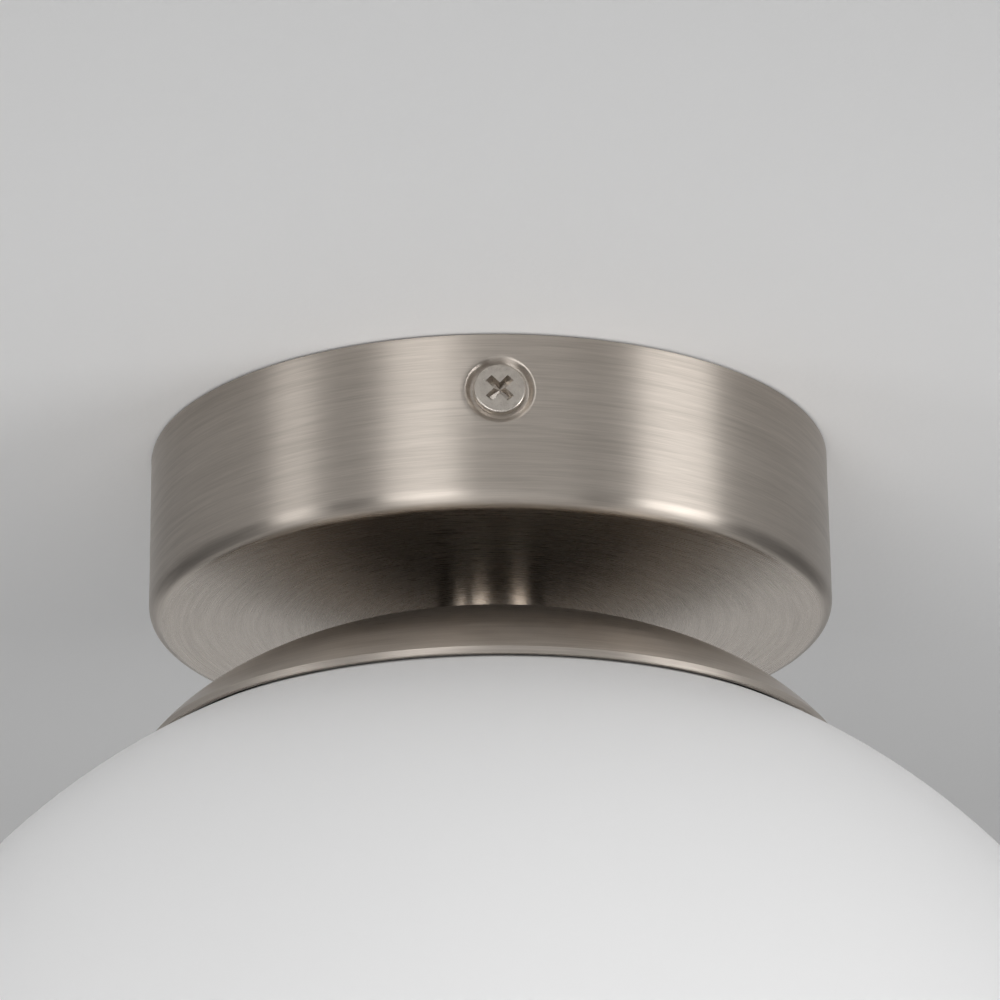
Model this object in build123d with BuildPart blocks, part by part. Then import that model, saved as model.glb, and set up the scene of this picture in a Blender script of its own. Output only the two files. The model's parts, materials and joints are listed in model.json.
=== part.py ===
"""Flush mount ceiling light: brushed nickel canopy and dome with an opal glass globe.

The ceiling is the plane z = 0 and the lamp hangs from it along -Z, on the Z axis.
The two canopy screws lie on the Y axis. All sizes are in millimetres.
"""

from build123d import *
from math import cos, radians, sin, sqrt, tan
import os

os.makedirs("parts", exist_ok=True)

# ---------------------------------------------------------------- driving dimensions

# clearances
running_clearance = 0.05   # radial, round a threaded or turning shank
assembly_clearance = 0.2   # radial, round a tube or screw that passes through a sheet
seat_gap = 0.1             # between flat faces that meet when clamped
glass_gap = 0.3            # between the glass and the soft or springy pieces beside it
rim_seat_gap = 0.15        # between the glass and the dome's rim, which it all but touches

# canopy, a drawn steel cup
canopy_radius = 50.0
canopy_height = 25.0
canopy_wall = 1.0
canopy_edge_radius = 2.5
canopy_lip_radius = 0.25
canopy_rim_gap = 0.3
canopy_screw_drop = 8.2
dimple_depth = 0.8
dimple_floor_radius = 3.95
dimple_mouth_radius = 5.1
dimple_sag = 0.27
dimple_floor_fillet = 0.5

# canopy screws, M4
canopy_screw_radius = 2.0
canopy_screw_length = 8.0
canopy_head_radius = 3.6
canopy_head_height = 1.15

# drive recesses of the small screws
cross_recess_span = 3.7
cross_recess_width = 1.15
cross_recess_depth = 0.8
driver_slot_width = 0.7
driver_slot_depth = 0.7

# ceiling bracket, a bent strap
strap_width = 20.0
strap_thickness = 1.5
strap_bend_radius = 1.5
strap_wall_gap = 0.4
tab_width = 12.0
tab_drop = 13.0
shoulder_drop = 4.5
slot_spacing = 72.0
slot_length = 12.0
slot_width = 4.5
cable_hole_radius = 5.0
earth_screw_y = -18.0
earth_screw_radius = 2.0
earth_head_radius = 4.0
earth_head_height = 2.4

# terminal block, three poles in a row along Y
pole_count = 3
pole_pitch = 8.0
block_width = 16.0
block_height = 12.0
block_start_y = 6.5
barrel_radius = 2.05
barrel_bore_radius = 1.45
barrel_length = 14.0
barrel_drop = 6.5
pole_gap = 0.8
pole_gap_depth = 2.5
clamp_screw_radius = 1.2
clamp_screw_offset = 4.2
fixing_screw_radius = 1.5
fixing_head_radius = 2.6
fixing_head_height = 1.6

# threaded tube and what it clamps
nipple_radius = 5.0
nipple_bore_radius = 3.6
nipple_rise = 6.5
nipple_reach = 7.9
washer_thickness = 0.8
washer_radius = 8.4
washer_tooth_count = 14
washer_tooth_depth = 1.4
washer_tooth_gap = 0.9
tag_thickness = 0.8
tag_radius = 7.8
tag_tongue_width = 4.0
crimp_start_x = 10.5
crimp_length = 6.5
crimp_overlap = 1.5        # how far the insulation reaches into the crimp
nut_thickness = 3.0
nut_across_flats = 14.0
collar_radius = 8.0
collar_height = 2.8

# shade holder, a spun elliptical dome
holder_radius = 50.0
holder_wall = 0.8
holder_height = 18.8
holder_lip = 1.0
holder_land_radius = 9.0
holder_curve_radius = 55.0

# globe
globe_radius = 100.0
globe_wall = 2.5
globe_mouth_radius = 42.0
globe_edge_radius = 0.9

# gasket in the dome
gasket_inner_radius = 43.6
gasket_outer_radius = 47.2

# spring carrier and glass springs
carrier_thickness = 1.0
carrier_hub_radius = 8.5
carrier_radius = 27.0
carrier_fall = 6.0
spring_count = 3
spring_first_angle = 90.0
spring_width = 8.0
spring_thickness = 0.5
spring_root_radius = 18.0
spring_bend_radii = [3.0, 2.4, 5.0, 1.5]
spring_shelf = 2.0         # how far the spring runs on past the carrier's edge
spring_neck_inset = 1.6    # clear of the mouth's edge, where the spring passes it
spring_neck_rise = 3.4
spring_seat_inset = 1.3
spring_seat_rise = 1.2
spring_hook = 1.4          # how far the bow stands out under the mouth's edge
spring_hook_drop = 4.0
spring_tail_inset = 3.2
spring_tail_drop = 14.0
rivet_radius = 1.25
rivet_head_radius = 2.3
rivet_head_height = 0.8
rivet_station = 23.0

# lampholder, size E27
cap_radius = 19.8
cap_wall = 2.2
cap_crown_radius = 9.0
cap_cone_height = 10.7
cap_height = 21.2
cap_boss_radius = 8.2
cap_boss_height = 8.2
grub_screw_radius = 1.5
grub_screw_length = 5.0
grub_boss_radius = 3.0
grub_screw_drop = 5.4
skirt_height = 33.0
skirt_wall = 2.4
skirt_spigot_height = 3.7
skirt_spigot_wall = 1.8
skirt_flange = 2.3
flute_count = 24
flute_radius = 0.8
insert_flange_height = 1.8
insert_core_height = 11.0
insert_tube_height = 22.0
insert_tube_wall = 1.25
sleeve_thickness = 0.4
sleeve_height = 20.0
wire_hole_offset = 9.0
wire_hole_depth = 7.0
terminal_screw_radius = 1.4
terminal_head_radius = 2.5
terminal_head_height = 1.8
terminal_screw_offset = 5.5
contact_thickness = 0.5
contact_width = 6.0
contact_drop = 1.4
contact_anchor_x = 9.0
contact_anchor_height = 3.0

# leads
lead_radius = 1.1
conductor_radius = 0.6
lead_spacing = 2.5
lead_entry_depth = 1.9
conductor_reach = 4.5
live_loop_x = 15.0         # how far each loop in the canopy stands out along X
neutral_loop_x = 19.5
earth_loop_x = 29.0
lead_bend_height = 2.4     # above the insert, where a lead turns down into it

# bulb with an E27 base
bulb_base_radius = 13.1
bulb_base_height = 21.0
bulb_base_wall = 0.5
bulb_insulator_height = 2.1
bulb_contact_height = 0.9
bulb_contact_radius = 4.6
bulb_radius = 30.0
bulb_length = 105.0
bulb_dome_inset = 0.5
bulb_dome_rim = 3.5
bulb_waist_height = 5.0
bulb_waist_step = 0.5
bulb_flare_height = 4.0
bulb_shoulder_inset = 4.0
bulb_plug_depth = 6.0

# ---------------------------------------------------------------- levels worked out from them

canopy_rim_z = -canopy_rim_gap
canopy_screw_z = canopy_rim_z - canopy_screw_drop
canopy_floor_z = canopy_rim_z - canopy_height
canopy_inside_z = canopy_floor_z + canopy_wall
dimple_y = canopy_radius - dimple_depth
tab_face_y = dimple_y - canopy_wall - seat_gap
strap_underside_z = -strap_thickness

washer_top_z = canopy_inside_z + washer_thickness
tag_top_z = washer_top_z + tag_thickness
nipple_top_z = canopy_inside_z + nipple_rise

land_z = canopy_floor_z - collar_height
carrier_top_z = land_z - holder_wall
carrier_underside_z = carrier_top_z - carrier_thickness
carrier_nut_base_z = carrier_underside_z - nut_thickness
cap_top_z = carrier_nut_base_z - 2 * seat_gap
nipple_base_z = carrier_nut_base_z - nipple_reach

holder_rim_z = land_z - holder_height
holder_lip_z = holder_rim_z + holder_lip
rim_share = sqrt(1 - (holder_radius / holder_curve_radius) ** 2)
land_share = sqrt(1 - (holder_land_radius / holder_curve_radius) ** 2)
holder_curve_height = (land_z - holder_lip_z) / (land_share - rim_share)
holder_curve_z = holder_lip_z - holder_curve_height * rim_share
holder_inner_radius = holder_radius - holder_wall

glass_seat_radius = holder_inner_radius
globe_z = holder_rim_z - rim_seat_gap - sqrt(globe_radius**2 - glass_seat_radius**2)
globe_inner_radius = globe_radius - globe_wall
mouth_inner_z = globe_z + sqrt(globe_inner_radius**2 - globe_mouth_radius**2)
mouth_outer_z = globe_z + sqrt(globe_radius**2 - globe_mouth_radius**2)

cap_base_z = cap_top_z - cap_height
grub_screw_z = cap_top_z - grub_screw_drop
spigot_top_z = cap_base_z + skirt_spigot_height
skirt_top_z = cap_base_z - assembly_clearance
skirt_base_z = skirt_top_z - skirt_height
cap_inner_radius = cap_radius - cap_wall
spigot_radius = cap_inner_radius - assembly_clearance
spigot_inner_radius = spigot_radius - skirt_spigot_wall
insert_top_z = spigot_top_z + insert_flange_height
insert_core_z = insert_top_z - insert_flange_height - insert_core_height
insert_radius = spigot_inner_radius - assembly_clearance
insert_bore_radius = insert_radius - insert_tube_wall
insert_base_z = insert_core_z - insert_tube_height
sleeve_radius = insert_bore_radius - running_clearance
sleeve_top_z = insert_core_z - 2 * contact_drop
contact_z = insert_core_z - contact_drop - contact_thickness

bulb_top_z = contact_z - glass_gap
bulb_base_z = bulb_top_z - bulb_contact_height - bulb_insulator_height - bulb_base_height
bulb_tip_z = bulb_top_z - bulb_length
bulb_dome_radius = bulb_radius - bulb_dome_inset
bulb_dome_centre_z = bulb_tip_z + bulb_dome_radius
bulb_housing_z = bulb_dome_centre_z + bulb_dome_rim

barrel_z = strap_underside_z - barrel_drop
pole_ys = [block_start_y + pole_pitch * (pole + 0.5) for pole in range(pole_count)]
fixing_screw_y = block_start_y + pole_pitch


# ---------------------------------------------------------------- helpers


def half_section(outline, radii=0, origin=(0, 0, 0), along=(0, 0, 1), radial=(1, 0, 0)):
    """Closed outline of (radius, height) points beside an axis, with its corners rounded."""
    corner_radii = radii if isinstance(radii, list) else [radii] * len(outline)
    plane = Plane(origin=origin, x_dir=radial, z_dir=Vector(radial).cross(Vector(along)))
    with BuildSketch(plane) as section:
        with BuildLine():
            FilletPolyline(*outline, radius=corner_radii, close=True)
        make_face()
    return section.sketch


def ring(inner_radius, outer_radius, base_z, top_z):
    """Corner points of a plain ring's half section."""
    return [
        (inner_radius, base_z),
        (outer_radius, base_z),
        (outer_radius, top_z),
        (inner_radius, top_z),
    ]


def screw(shank_radius, shank_length, head_radius, head_height, crown):
    """Half section points of a screw whose head seats at height 0 and whose tip points down."""
    return [
        (0, -shank_length),
        (0.8 * shank_radius, -shank_length),
        (shank_radius, -shank_length + 0.3),
        (shank_radius, 0),
        (head_radius, 0),
        (head_radius, head_height - crown),
        (head_radius - crown, head_height),
        (0, head_height),
    ]


def bend_radii(route):
    """Arc radius at each inner point of a lead: as large as its two runs allow."""
    points = [Vector(point) for point in route]
    radii = []
    for before, corner, after in zip(points, points[1:], points[2:]):
        run_in = corner - before
        run_out = after - corner
        turn = radians(run_in.get_angle(run_out))
        radii.append(0.45 * min(run_in.length, run_out.length) / tan(turn / 2))
    return radii


def insulated_lead(route, start_strip, end_strip):
    """One lead: an insulated tube along its route, with a bared conductor at each end."""
    start = Vector(route[0])
    end = Vector(route[-1])
    start_way = (Vector(route[1]) - start).normalized()
    end_way = (end - Vector(route[-2])).normalized()
    with BuildPart() as lead:
        with BuildLine():
            FilletPolyline(*route, radius=bend_radii(route))
        with BuildSketch(Plane(origin=start, z_dir=start_way)):
            Circle(lead_radius)
        sweep()
        with BuildSketch(Plane(origin=start, z_dir=start_way)):
            Circle(conductor_radius)
        extrude(amount=-start_strip)
        with BuildSketch(Plane(origin=end, z_dir=end_way)):
            Circle(conductor_radius)
        extrude(amount=end_strip)
    return lead


def save(piece, name):
    """Label a finished piece and write it to its file."""
    piece.part.label = name
    export_step(piece.part, f"parts/{name}.step")


# ---------------------------------------------------------------- ceiling bracket

with BuildPart() as ceiling_bracket:
    # side view: a flat strap whose ends turn down
    with BuildSketch(Plane.YZ) as strap_side:
        with BuildLine():
            FilletPolyline(
                (-tab_face_y, -tab_drop),
                (-tab_face_y, 0),
                (tab_face_y, 0),
                (tab_face_y, -tab_drop),
                radius=strap_bend_radius + strap_thickness,
            )
            FilletPolyline(
                (strap_thickness - tab_face_y, -tab_drop),
                (strap_thickness - tab_face_y, strap_underside_z),
                (tab_face_y - strap_thickness, strap_underside_z),
                (tab_face_y - strap_thickness, -tab_drop),
                radius=strap_bend_radius,
            )
            Line((-tab_face_y, -tab_drop), (strap_thickness - tab_face_y, -tab_drop))
            Line((tab_face_y, -tab_drop), (tab_face_y - strap_thickness, -tab_drop))
        make_face()
    extrude(amount=strap_width / 2, both=True)
    # end view: the turned-down ends are narrower than the strap
    with BuildSketch(Plane.XZ) as strap_end:
        with BuildLine():
            FilletPolyline(
                (strap_width / 2, 0),
                (strap_width / 2, -shoulder_drop),
                (tab_width / 2, -shoulder_drop),
                (tab_width / 2, -tab_drop),
                (-tab_width / 2, -tab_drop),
                (-tab_width / 2, -shoulder_drop),
                (-strap_width / 2, -shoulder_drop),
                (-strap_width / 2, 0),
                radius=[0, 0, 1.0, 2.0, 2.0, 1.0, 0, 0],
                close=True,
            )
        make_face()
    extrude(amount=canopy_radius, both=True, mode=Mode.INTERSECT)
    # plan view: the strap's corners follow the round wall of the canopy
    with BuildSketch(Plane.XY):
        Circle(canopy_radius - canopy_wall - strap_wall_gap)
    extrude(amount=-tab_drop, mode=Mode.INTERSECT)
    # slots for the ceiling screws, cable hole, tapped holes for the earth and block screws
    with BuildSketch(Plane.XY):
        with Locations((0, -slot_spacing / 2), (0, slot_spacing / 2)):
            SlotOverall(slot_length, slot_width, rotation=90)
        Circle(cable_hole_radius)
        with Locations((0, earth_screw_y)):
            Circle(earth_screw_radius + running_clearance)
        with Locations((0, fixing_screw_y)):
            Circle(fixing_screw_radius + running_clearance)
    extrude(amount=-strap_thickness, mode=Mode.SUBTRACT)
    # tapped hole for a canopy screw in each end
    with BuildSketch(Plane.XZ):
        with Locations((0, canopy_screw_z)):
            Circle(canopy_screw_radius + running_clearance)
    extrude(amount=canopy_radius, both=True, mode=Mode.SUBTRACT)
save(ceiling_bracket, "ceiling_bracket")

# ---------------------------------------------------------------- earth screw on the bracket

earth_seat = (0, earth_screw_y, strap_underside_z)

with BuildPart() as earth_screw:
    outline = screw(
        earth_screw_radius,
        strap_thickness - assembly_clearance,
        earth_head_radius,
        earth_head_height,
        crown=1.0,
    )
    revolve(half_section(outline, 0, earth_seat, (0, 0, -1)), axis=Axis(earth_seat, (0, 0, -1)))
    with BuildSketch(Plane.XY.offset(strap_underside_z - earth_head_height)):
        with Locations((0, earth_screw_y)):
            Rectangle(cross_recess_span, cross_recess_width)
            Rectangle(cross_recess_width, cross_recess_span)
    extrude(amount=cross_recess_depth, mode=Mode.SUBTRACT)
save(earth_screw, "earth_screw")

# ---------------------------------------------------------------- terminal block

block_length = pole_count * pole_pitch
block_centre_y = block_start_y + block_length / 2
block_base_z = strap_underside_z - block_height
clamp_well_radius = clamp_screw_radius + 0.4
clamp_points = [(x, y) for y in pole_ys for x in (-clamp_screw_offset, clamp_screw_offset)]

with BuildPart() as terminal_block_body:
    # end view: a base foot under the strap, a waist round the tubes, and the screw towers
    with BuildSketch(Plane.XZ.offset(-block_start_y)):
        with BuildLine():
            FilletPolyline(
                (-block_width / 2, strap_underside_z),
                (block_width / 2, strap_underside_z),
                (block_width / 2, barrel_z - barrel_radius - 1.0),
                (block_width / 2 - 1.5, block_base_z),
                (1.5 - block_width / 2, block_base_z),
                (-block_width / 2, barrel_z - barrel_radius - 1.0),
                radius=[0, 0, 0.8, 0.8, 0.8, 0.8],
                close=True,
            )
        make_face()
    extrude(amount=-block_length)
    # a groove between neighbouring poles, so that a pole can be cut off
    with BuildSketch(Plane.YZ):
        for pole in range(1, pole_count):
            with Locations((block_start_y + pole * pole_pitch, block_base_z)):
                Rectangle(pole_gap, 2 * pole_gap_depth)
    extrude(amount=block_width, both=True, mode=Mode.SUBTRACT)
    # tunnels for the brass tubes
    with BuildSketch(Plane.YZ):
        with Locations(*[(y, barrel_z) for y in pole_ys]):
            Circle(barrel_radius + running_clearance)
    extrude(amount=block_width, both=True, mode=Mode.SUBTRACT)
    # wells for the clamp screws, and the hole for the fixing screw
    with BuildSketch(Plane.XY.offset(block_base_z)):
        with Locations(*clamp_points):
            Circle(clamp_well_radius)
    extrude(amount=block_height - barrel_drop, mode=Mode.SUBTRACT)
    with Locations(Plane(origin=(0, fixing_screw_y, block_base_z), z_dir=(0, 0, -1))):
        CounterBoreHole(
            fixing_screw_radius + running_clearance,
            fixing_head_radius + assembly_clearance,
            pole_gap_depth,
            block_height,
        )
save(terminal_block_body, "terminal_block_body")

with BuildPart() as terminal_barrels:
    with BuildSketch(Plane.YZ.offset(-barrel_length / 2)):
        with Locations(*[(y, barrel_z) for y in pole_ys]):
            Circle(barrel_radius)
            Circle(barrel_bore_radius, mode=Mode.SUBTRACT)
    extrude(amount=barrel_length)
    # tapped holes for the clamp screws, on the lower side only
    with BuildSketch(Plane.XY.offset(barrel_z)):
        with Locations(*clamp_points):
            Circle(clamp_screw_radius + running_clearance)
    extrude(amount=-2 * barrel_radius, mode=Mode.SUBTRACT)
save(terminal_barrels, "terminal_barrels")

clamp_tip_z = barrel_z - conductor_radius - running_clearance
clamp_head_z = block_base_z + 0.8

with BuildPart() as terminal_clamp_screws:
    with BuildSketch(Plane.XY.offset(clamp_head_z)):
        with Locations(*clamp_points):
            Circle(clamp_screw_radius)
    extrude(amount=clamp_tip_z - clamp_head_z)
    with BuildSketch(Plane.XY.offset(clamp_head_z)):
        with Locations(*clamp_points):
            Rectangle(3 * clamp_screw_radius, driver_slot_width)
    extrude(amount=driver_slot_depth, mode=Mode.SUBTRACT)
save(terminal_clamp_screws, "terminal_clamp_screws")

fixing_seat = (0, fixing_screw_y, block_base_z + pole_gap_depth)

with BuildPart() as terminal_fixing_screw:
    outline = screw(
        fixing_screw_radius,
        block_height - pole_gap_depth + strap_thickness - assembly_clearance,
        fixing_head_radius,
        fixing_head_height,
        crown=0.5,
    )
    revolve(half_section(outline, 0, fixing_seat, (0, 0, -1)), axis=Axis(fixing_seat, (0, 0, -1)))
    with BuildSketch(Plane.XY.offset(fixing_seat[2] - fixing_head_height)):
        with Locations((0, fixing_screw_y)):
            Rectangle(3 * fixing_head_radius, driver_slot_width)
    extrude(amount=driver_slot_depth, mode=Mode.SUBTRACT)
save(terminal_fixing_screw, "terminal_fixing_screw")

# ---------------------------------------------------------------- canopy

with BuildPart() as canopy:
    # drawn cup, open towards the ceiling
    cup = [
        (nipple_radius + assembly_clearance, canopy_floor_z),
        (canopy_radius, canopy_floor_z),
        (canopy_radius, canopy_rim_z),
        (canopy_radius - canopy_wall, canopy_rim_z),
        (canopy_radius - canopy_wall, canopy_inside_z),
        (nipple_radius + assembly_clearance, canopy_inside_z),
    ]
    inner_edge_radius = canopy_edge_radius - canopy_wall
    revolve(half_section(cup, [0, canopy_edge_radius, canopy_lip_radius, canopy_lip_radius, inner_edge_radius, 0]))
    # pressed dimple round each side hole: the sheet stands in by the dimple's depth
    for side in (-1, 1):
        origin = (0, 0, canopy_screw_z)
        outward = (0, side, 0)
        bulge = [
            (0, dimple_y - canopy_wall),
            (dimple_floor_radius, dimple_y - canopy_wall),
            (dimple_mouth_radius, canopy_radius - 1.4 * canopy_wall),
            (dimple_mouth_radius, canopy_radius - 0.7 * canopy_wall),
            (0, canopy_radius - 0.7 * canopy_wall),
        ]
        revolve(half_section(bulge, 0, origin, outward), axis=Axis(origin, outward))
        hollow = [
            (0, dimple_y),
            (dimple_floor_radius, dimple_y),
            (dimple_mouth_radius, canopy_radius - dimple_sag),
            (dimple_mouth_radius, canopy_radius + canopy_wall),
            (0, canopy_radius + canopy_wall),
        ]
        revolve(
            half_section(hollow, [0, dimple_floor_fillet, 0, 0, 0], origin, outward),
            axis=Axis(origin, outward),
            mode=Mode.SUBTRACT,
        )
        hole = ring(0, canopy_screw_radius + assembly_clearance, tab_face_y, canopy_radius)
        revolve(
            half_section(hole, 0, origin, outward),
            axis=Axis(origin, outward),
            mode=Mode.SUBTRACT,
        )
save(canopy, "canopy")

# ---------------------------------------------------------------- canopy screws


def canopy_screw(side):
    """One M4 screw with a flat disc head and a cross recess, along Y on the given side."""
    outward = (0, side, 0)
    seat = (0, side * (dimple_y + seat_gap), canopy_screw_z)
    outline = screw(
        canopy_screw_radius,
        canopy_screw_length,
        canopy_head_radius,
        canopy_head_height,
        crown=0.2,
    )
    with BuildPart() as piece:
        revolve(half_section(outline, 0, seat, outward), axis=Axis(seat, outward))
        face_plane = Plane(
            origin=(0, side * (dimple_y + seat_gap + canopy_head_height), canopy_screw_z),
            z_dir=outward,
        )
        with BuildSketch(face_plane):
            for angle in (45, 135):
                Rectangle(cross_recess_span, cross_recess_width, rotation=angle)
        extrude(amount=-cross_recess_depth, taper=12, mode=Mode.SUBTRACT)
    return piece


save(canopy_screw(-1), "canopy_screw_front")
save(canopy_screw(1), "canopy_screw_rear")

# ---------------------------------------------------------------- threaded tube and its stack

with BuildPart() as nipple:
    tube = ring(nipple_bore_radius, nipple_radius, nipple_base_z, nipple_top_z)
    revolve(half_section(tube, [0.3, 0.5, 0.5, 0.3]))
save(nipple, "nipple")

with BuildPart() as lock_washer:
    with BuildSketch(Plane.XY.offset(canopy_inside_z)):
        Circle(washer_radius)
        Circle(nipple_radius + assembly_clearance, mode=Mode.SUBTRACT)
        with PolarLocations(washer_radius, washer_tooth_count):
            Rectangle(2 * washer_tooth_depth, washer_tooth_gap, mode=Mode.SUBTRACT)
    extrude(amount=washer_thickness)
save(lock_washer, "lock_washer")

crimp_radius = lead_radius + running_clearance + tag_thickness
crimp_z = washer_top_z + crimp_radius - 0.1

with BuildPart() as earth_tag:
    with BuildSketch(Plane.XY.offset(washer_top_z)):
        Circle(tag_radius)
        with Locations((crimp_start_x / 2 + crimp_length / 4, 0)):
            Rectangle(crimp_start_x + crimp_length / 2, tag_tongue_width)
        Circle(nipple_radius + assembly_clearance, mode=Mode.SUBTRACT)
    extrude(amount=tag_thickness)
    with BuildSketch(Plane.YZ.offset(crimp_start_x)):
        with Locations((0, crimp_z)):
            Circle(crimp_radius)
    extrude(amount=crimp_length)
    with BuildSketch(Plane.YZ.offset(crimp_start_x)):
        with Locations((0, crimp_z)):
            Circle(lead_radius + running_clearance)
    extrude(amount=crimp_length, mode=Mode.SUBTRACT)
save(earth_tag, "earth_tag")


def hex_nut(base_z):
    """A thin hexagon nut on the threaded tube."""
    with BuildPart() as nut:
        with BuildSketch(Plane.XY.offset(base_z)):
            RegularPolygon(nut_across_flats / 2, 6, major_radius=False)
        extrude(amount=nut_thickness)
        # the corners are turned back on both faces
        corner_radius = nut_across_flats / sqrt(3)
        blank = ring(0, corner_radius, base_z, base_z + nut_thickness)
        blank_edges = [0, 0.6, 0.6, 0]
        revolve(half_section(blank, blank_edges), mode=Mode.INTERSECT)
        with BuildSketch(Plane.XY.offset(base_z)):
            Circle(nipple_radius + running_clearance)
        extrude(amount=nut_thickness, mode=Mode.SUBTRACT)
    return nut


save(hex_nut(tag_top_z), "nipple_nut")
save(hex_nut(carrier_nut_base_z), "carrier_nut")

with BuildPart() as spacer_collar:
    collar = ring(nipple_radius + assembly_clearance, collar_radius, land_z, canopy_floor_z)
    revolve(half_section(collar, [0, 0.4, 0.4, 0]))
save(spacer_collar, "spacer_collar")

# ---------------------------------------------------------------- shade holder

with BuildPart() as shade_holder:
    with BuildSketch(Plane.XZ) as dome_section:
        # spun wall between two ellipses about one centre
        with Locations((0, holder_curve_z)):
            Ellipse(holder_curve_radius, holder_curve_height)
            Ellipse(
                holder_curve_radius - holder_wall,
                holder_curve_height - holder_wall,
                mode=Mode.SUBTRACT,
            )
        # flat land for the collar, and the cut edge at the rim
        with Locations((0, carrier_top_z + holder_wall / 2)):
            Rectangle(2 * holder_land_radius + 1, holder_wall)
        with Locations((holder_radius - holder_wall / 2, (holder_rim_z + holder_lip_z) / 2)):
            Rectangle(holder_wall, holder_lip + 2 * holder_wall)
        with Locations(((holder_radius + nipple_radius + assembly_clearance) / 2, 0)):
            Rectangle(
                holder_radius - nipple_radius - assembly_clearance,
                -2 * holder_rim_z,
                mode=Mode.INTERSECT,
            )
        with Locations((0, land_z / 2)):
            Rectangle(2 * holder_radius, -land_z, mode=Mode.SUBTRACT)
    revolve()
save(shade_holder, "shade_holder")

# ---------------------------------------------------------------- gasket between dome and glass

with BuildPart() as shade_gasket:
    with BuildSketch(Plane.XZ):
        with Locations(((gasket_inner_radius + gasket_outer_radius) / 2, holder_lip_z)):
            Rectangle(gasket_outer_radius - gasket_inner_radius, holder_height)
        with Locations((0, holder_curve_z)):
            Ellipse(
                holder_curve_radius - holder_wall - running_clearance,
                holder_curve_height - holder_wall - running_clearance,
                mode=Mode.INTERSECT,
            )
        with Locations((0, globe_z)):
            Circle(globe_radius + glass_gap, mode=Mode.SUBTRACT)
    revolve()
save(shade_gasket, "shade_gasket")

# ---------------------------------------------------------------- spring carrier

carrier_slope = carrier_fall / (carrier_radius - carrier_hub_radius)
carrier_cosine = 1 / sqrt(1 + carrier_slope**2)


def carrier_underside(radius):
    """Height of the carrier's sloping underside at a radius."""
    return carrier_underside_z - (radius - carrier_hub_radius) * carrier_slope


def spoke_plane(angle):
    """Upright plane through the lamp's axis at a compass angle, x outwards and y up."""
    outwards = (cos(radians(angle)), sin(radians(angle)), 0)
    return Plane(origin=(0, 0, 0), x_dir=outwards, z_dir=(outwards[1], -outwards[0], 0))


spring_angles = [spring_first_angle + 360 * n / spring_count for n in range(spring_count)]


def rivet_axis(angle):
    """Axis of a rivet, square to the sloping flange, from its middle upwards."""
    plane = spoke_plane(angle)
    foot = plane.from_local_coords((rivet_station, carrier_underside(rivet_station)))
    upright = plane.from_local_coords((carrier_slope * carrier_cosine, carrier_cosine))
    return Axis(foot, upright)


with BuildPart() as spring_carrier:
    dish = [
        (nipple_radius + assembly_clearance, carrier_underside_z),
        (carrier_hub_radius, carrier_underside_z),
        (carrier_radius, carrier_underside_z - carrier_fall),
        (carrier_radius, carrier_top_z - carrier_fall),
        (carrier_hub_radius, carrier_top_z),
        (nipple_radius + assembly_clearance, carrier_top_z),
    ]
    revolve(half_section(dish, [0, 2.0, 0.3, 0.3, 3.0, 0]))
    for angle in spring_angles:
        hole_axis = rivet_axis(angle)
        with BuildSketch(Plane(origin=hole_axis.position, z_dir=hole_axis.direction)):
            Circle(rivet_radius + running_clearance)
        extrude(amount=2 * carrier_thickness, both=True, mode=Mode.SUBTRACT)
save(spring_carrier, "spring_carrier")

# ---------------------------------------------------------------- glass springs and their rivets

# the flat strip meets the hollow side of the cone along its two edges
spring_edge_rise = carrier_slope * (
    sqrt(spring_root_radius**2 + (spring_width / 2) ** 2) - spring_root_radius
)
spring_offset = spring_edge_rise + (spring_thickness / 2 + running_clearance) / carrier_cosine
spring_bend_radius = carrier_radius + spring_shelf
spring_outline = [
    (spring_root_radius, carrier_underside(spring_root_radius) - spring_offset),
    (spring_bend_radius, carrier_underside(spring_bend_radius) - spring_offset),
    (globe_mouth_radius - spring_neck_inset, mouth_outer_z + spring_neck_rise),
    (globe_mouth_radius - spring_seat_inset, mouth_inner_z + spring_seat_rise),
    (globe_mouth_radius + spring_hook, mouth_inner_z - spring_hook_drop),
    (globe_mouth_radius - spring_tail_inset, mouth_outer_z - spring_tail_drop),
]

with BuildPart() as glass_springs:
    for angle in spring_angles:
        with BuildSketch(spoke_plane(angle)):
            with BuildLine():
                FilletPolyline(*spring_outline, radius=spring_bend_radii)
            trace(line_width=spring_thickness)
        extrude(amount=spring_width / 2, both=True)
        hole_axis = rivet_axis(angle)
        with BuildSketch(Plane(origin=hole_axis.position, z_dir=hole_axis.direction)):
            Circle(rivet_radius + running_clearance)
        extrude(amount=2 * carrier_thickness, both=True, mode=Mode.SUBTRACT)
save(glass_springs, "glass_springs")

rivet_grip = spring_thickness + spring_edge_rise + 2 * running_clearance
with BuildPart() as spring_rivets:
    for angle in spring_angles:
        axis = rivet_axis(angle)
        tangent = (-sin(radians(angle)), cos(radians(angle)), 0)
        outline = [
            (0, -rivet_grip - rivet_head_height),
            (0.6 * rivet_head_radius, -rivet_grip - rivet_head_height),
            (rivet_head_radius, -rivet_grip),
            (rivet_radius, -rivet_grip),
            (rivet_radius, carrier_thickness + running_clearance),
            (rivet_head_radius, carrier_thickness + running_clearance),
            (0.6 * rivet_head_radius, carrier_thickness + running_clearance + rivet_head_height),
            (0, carrier_thickness + running_clearance + rivet_head_height),
        ]
        section = half_section(outline, 0, axis.position, axis.direction, tangent)
        revolve(section, axis=axis)
save(spring_rivets, "spring_rivets")

# ---------------------------------------------------------------- globe

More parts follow.
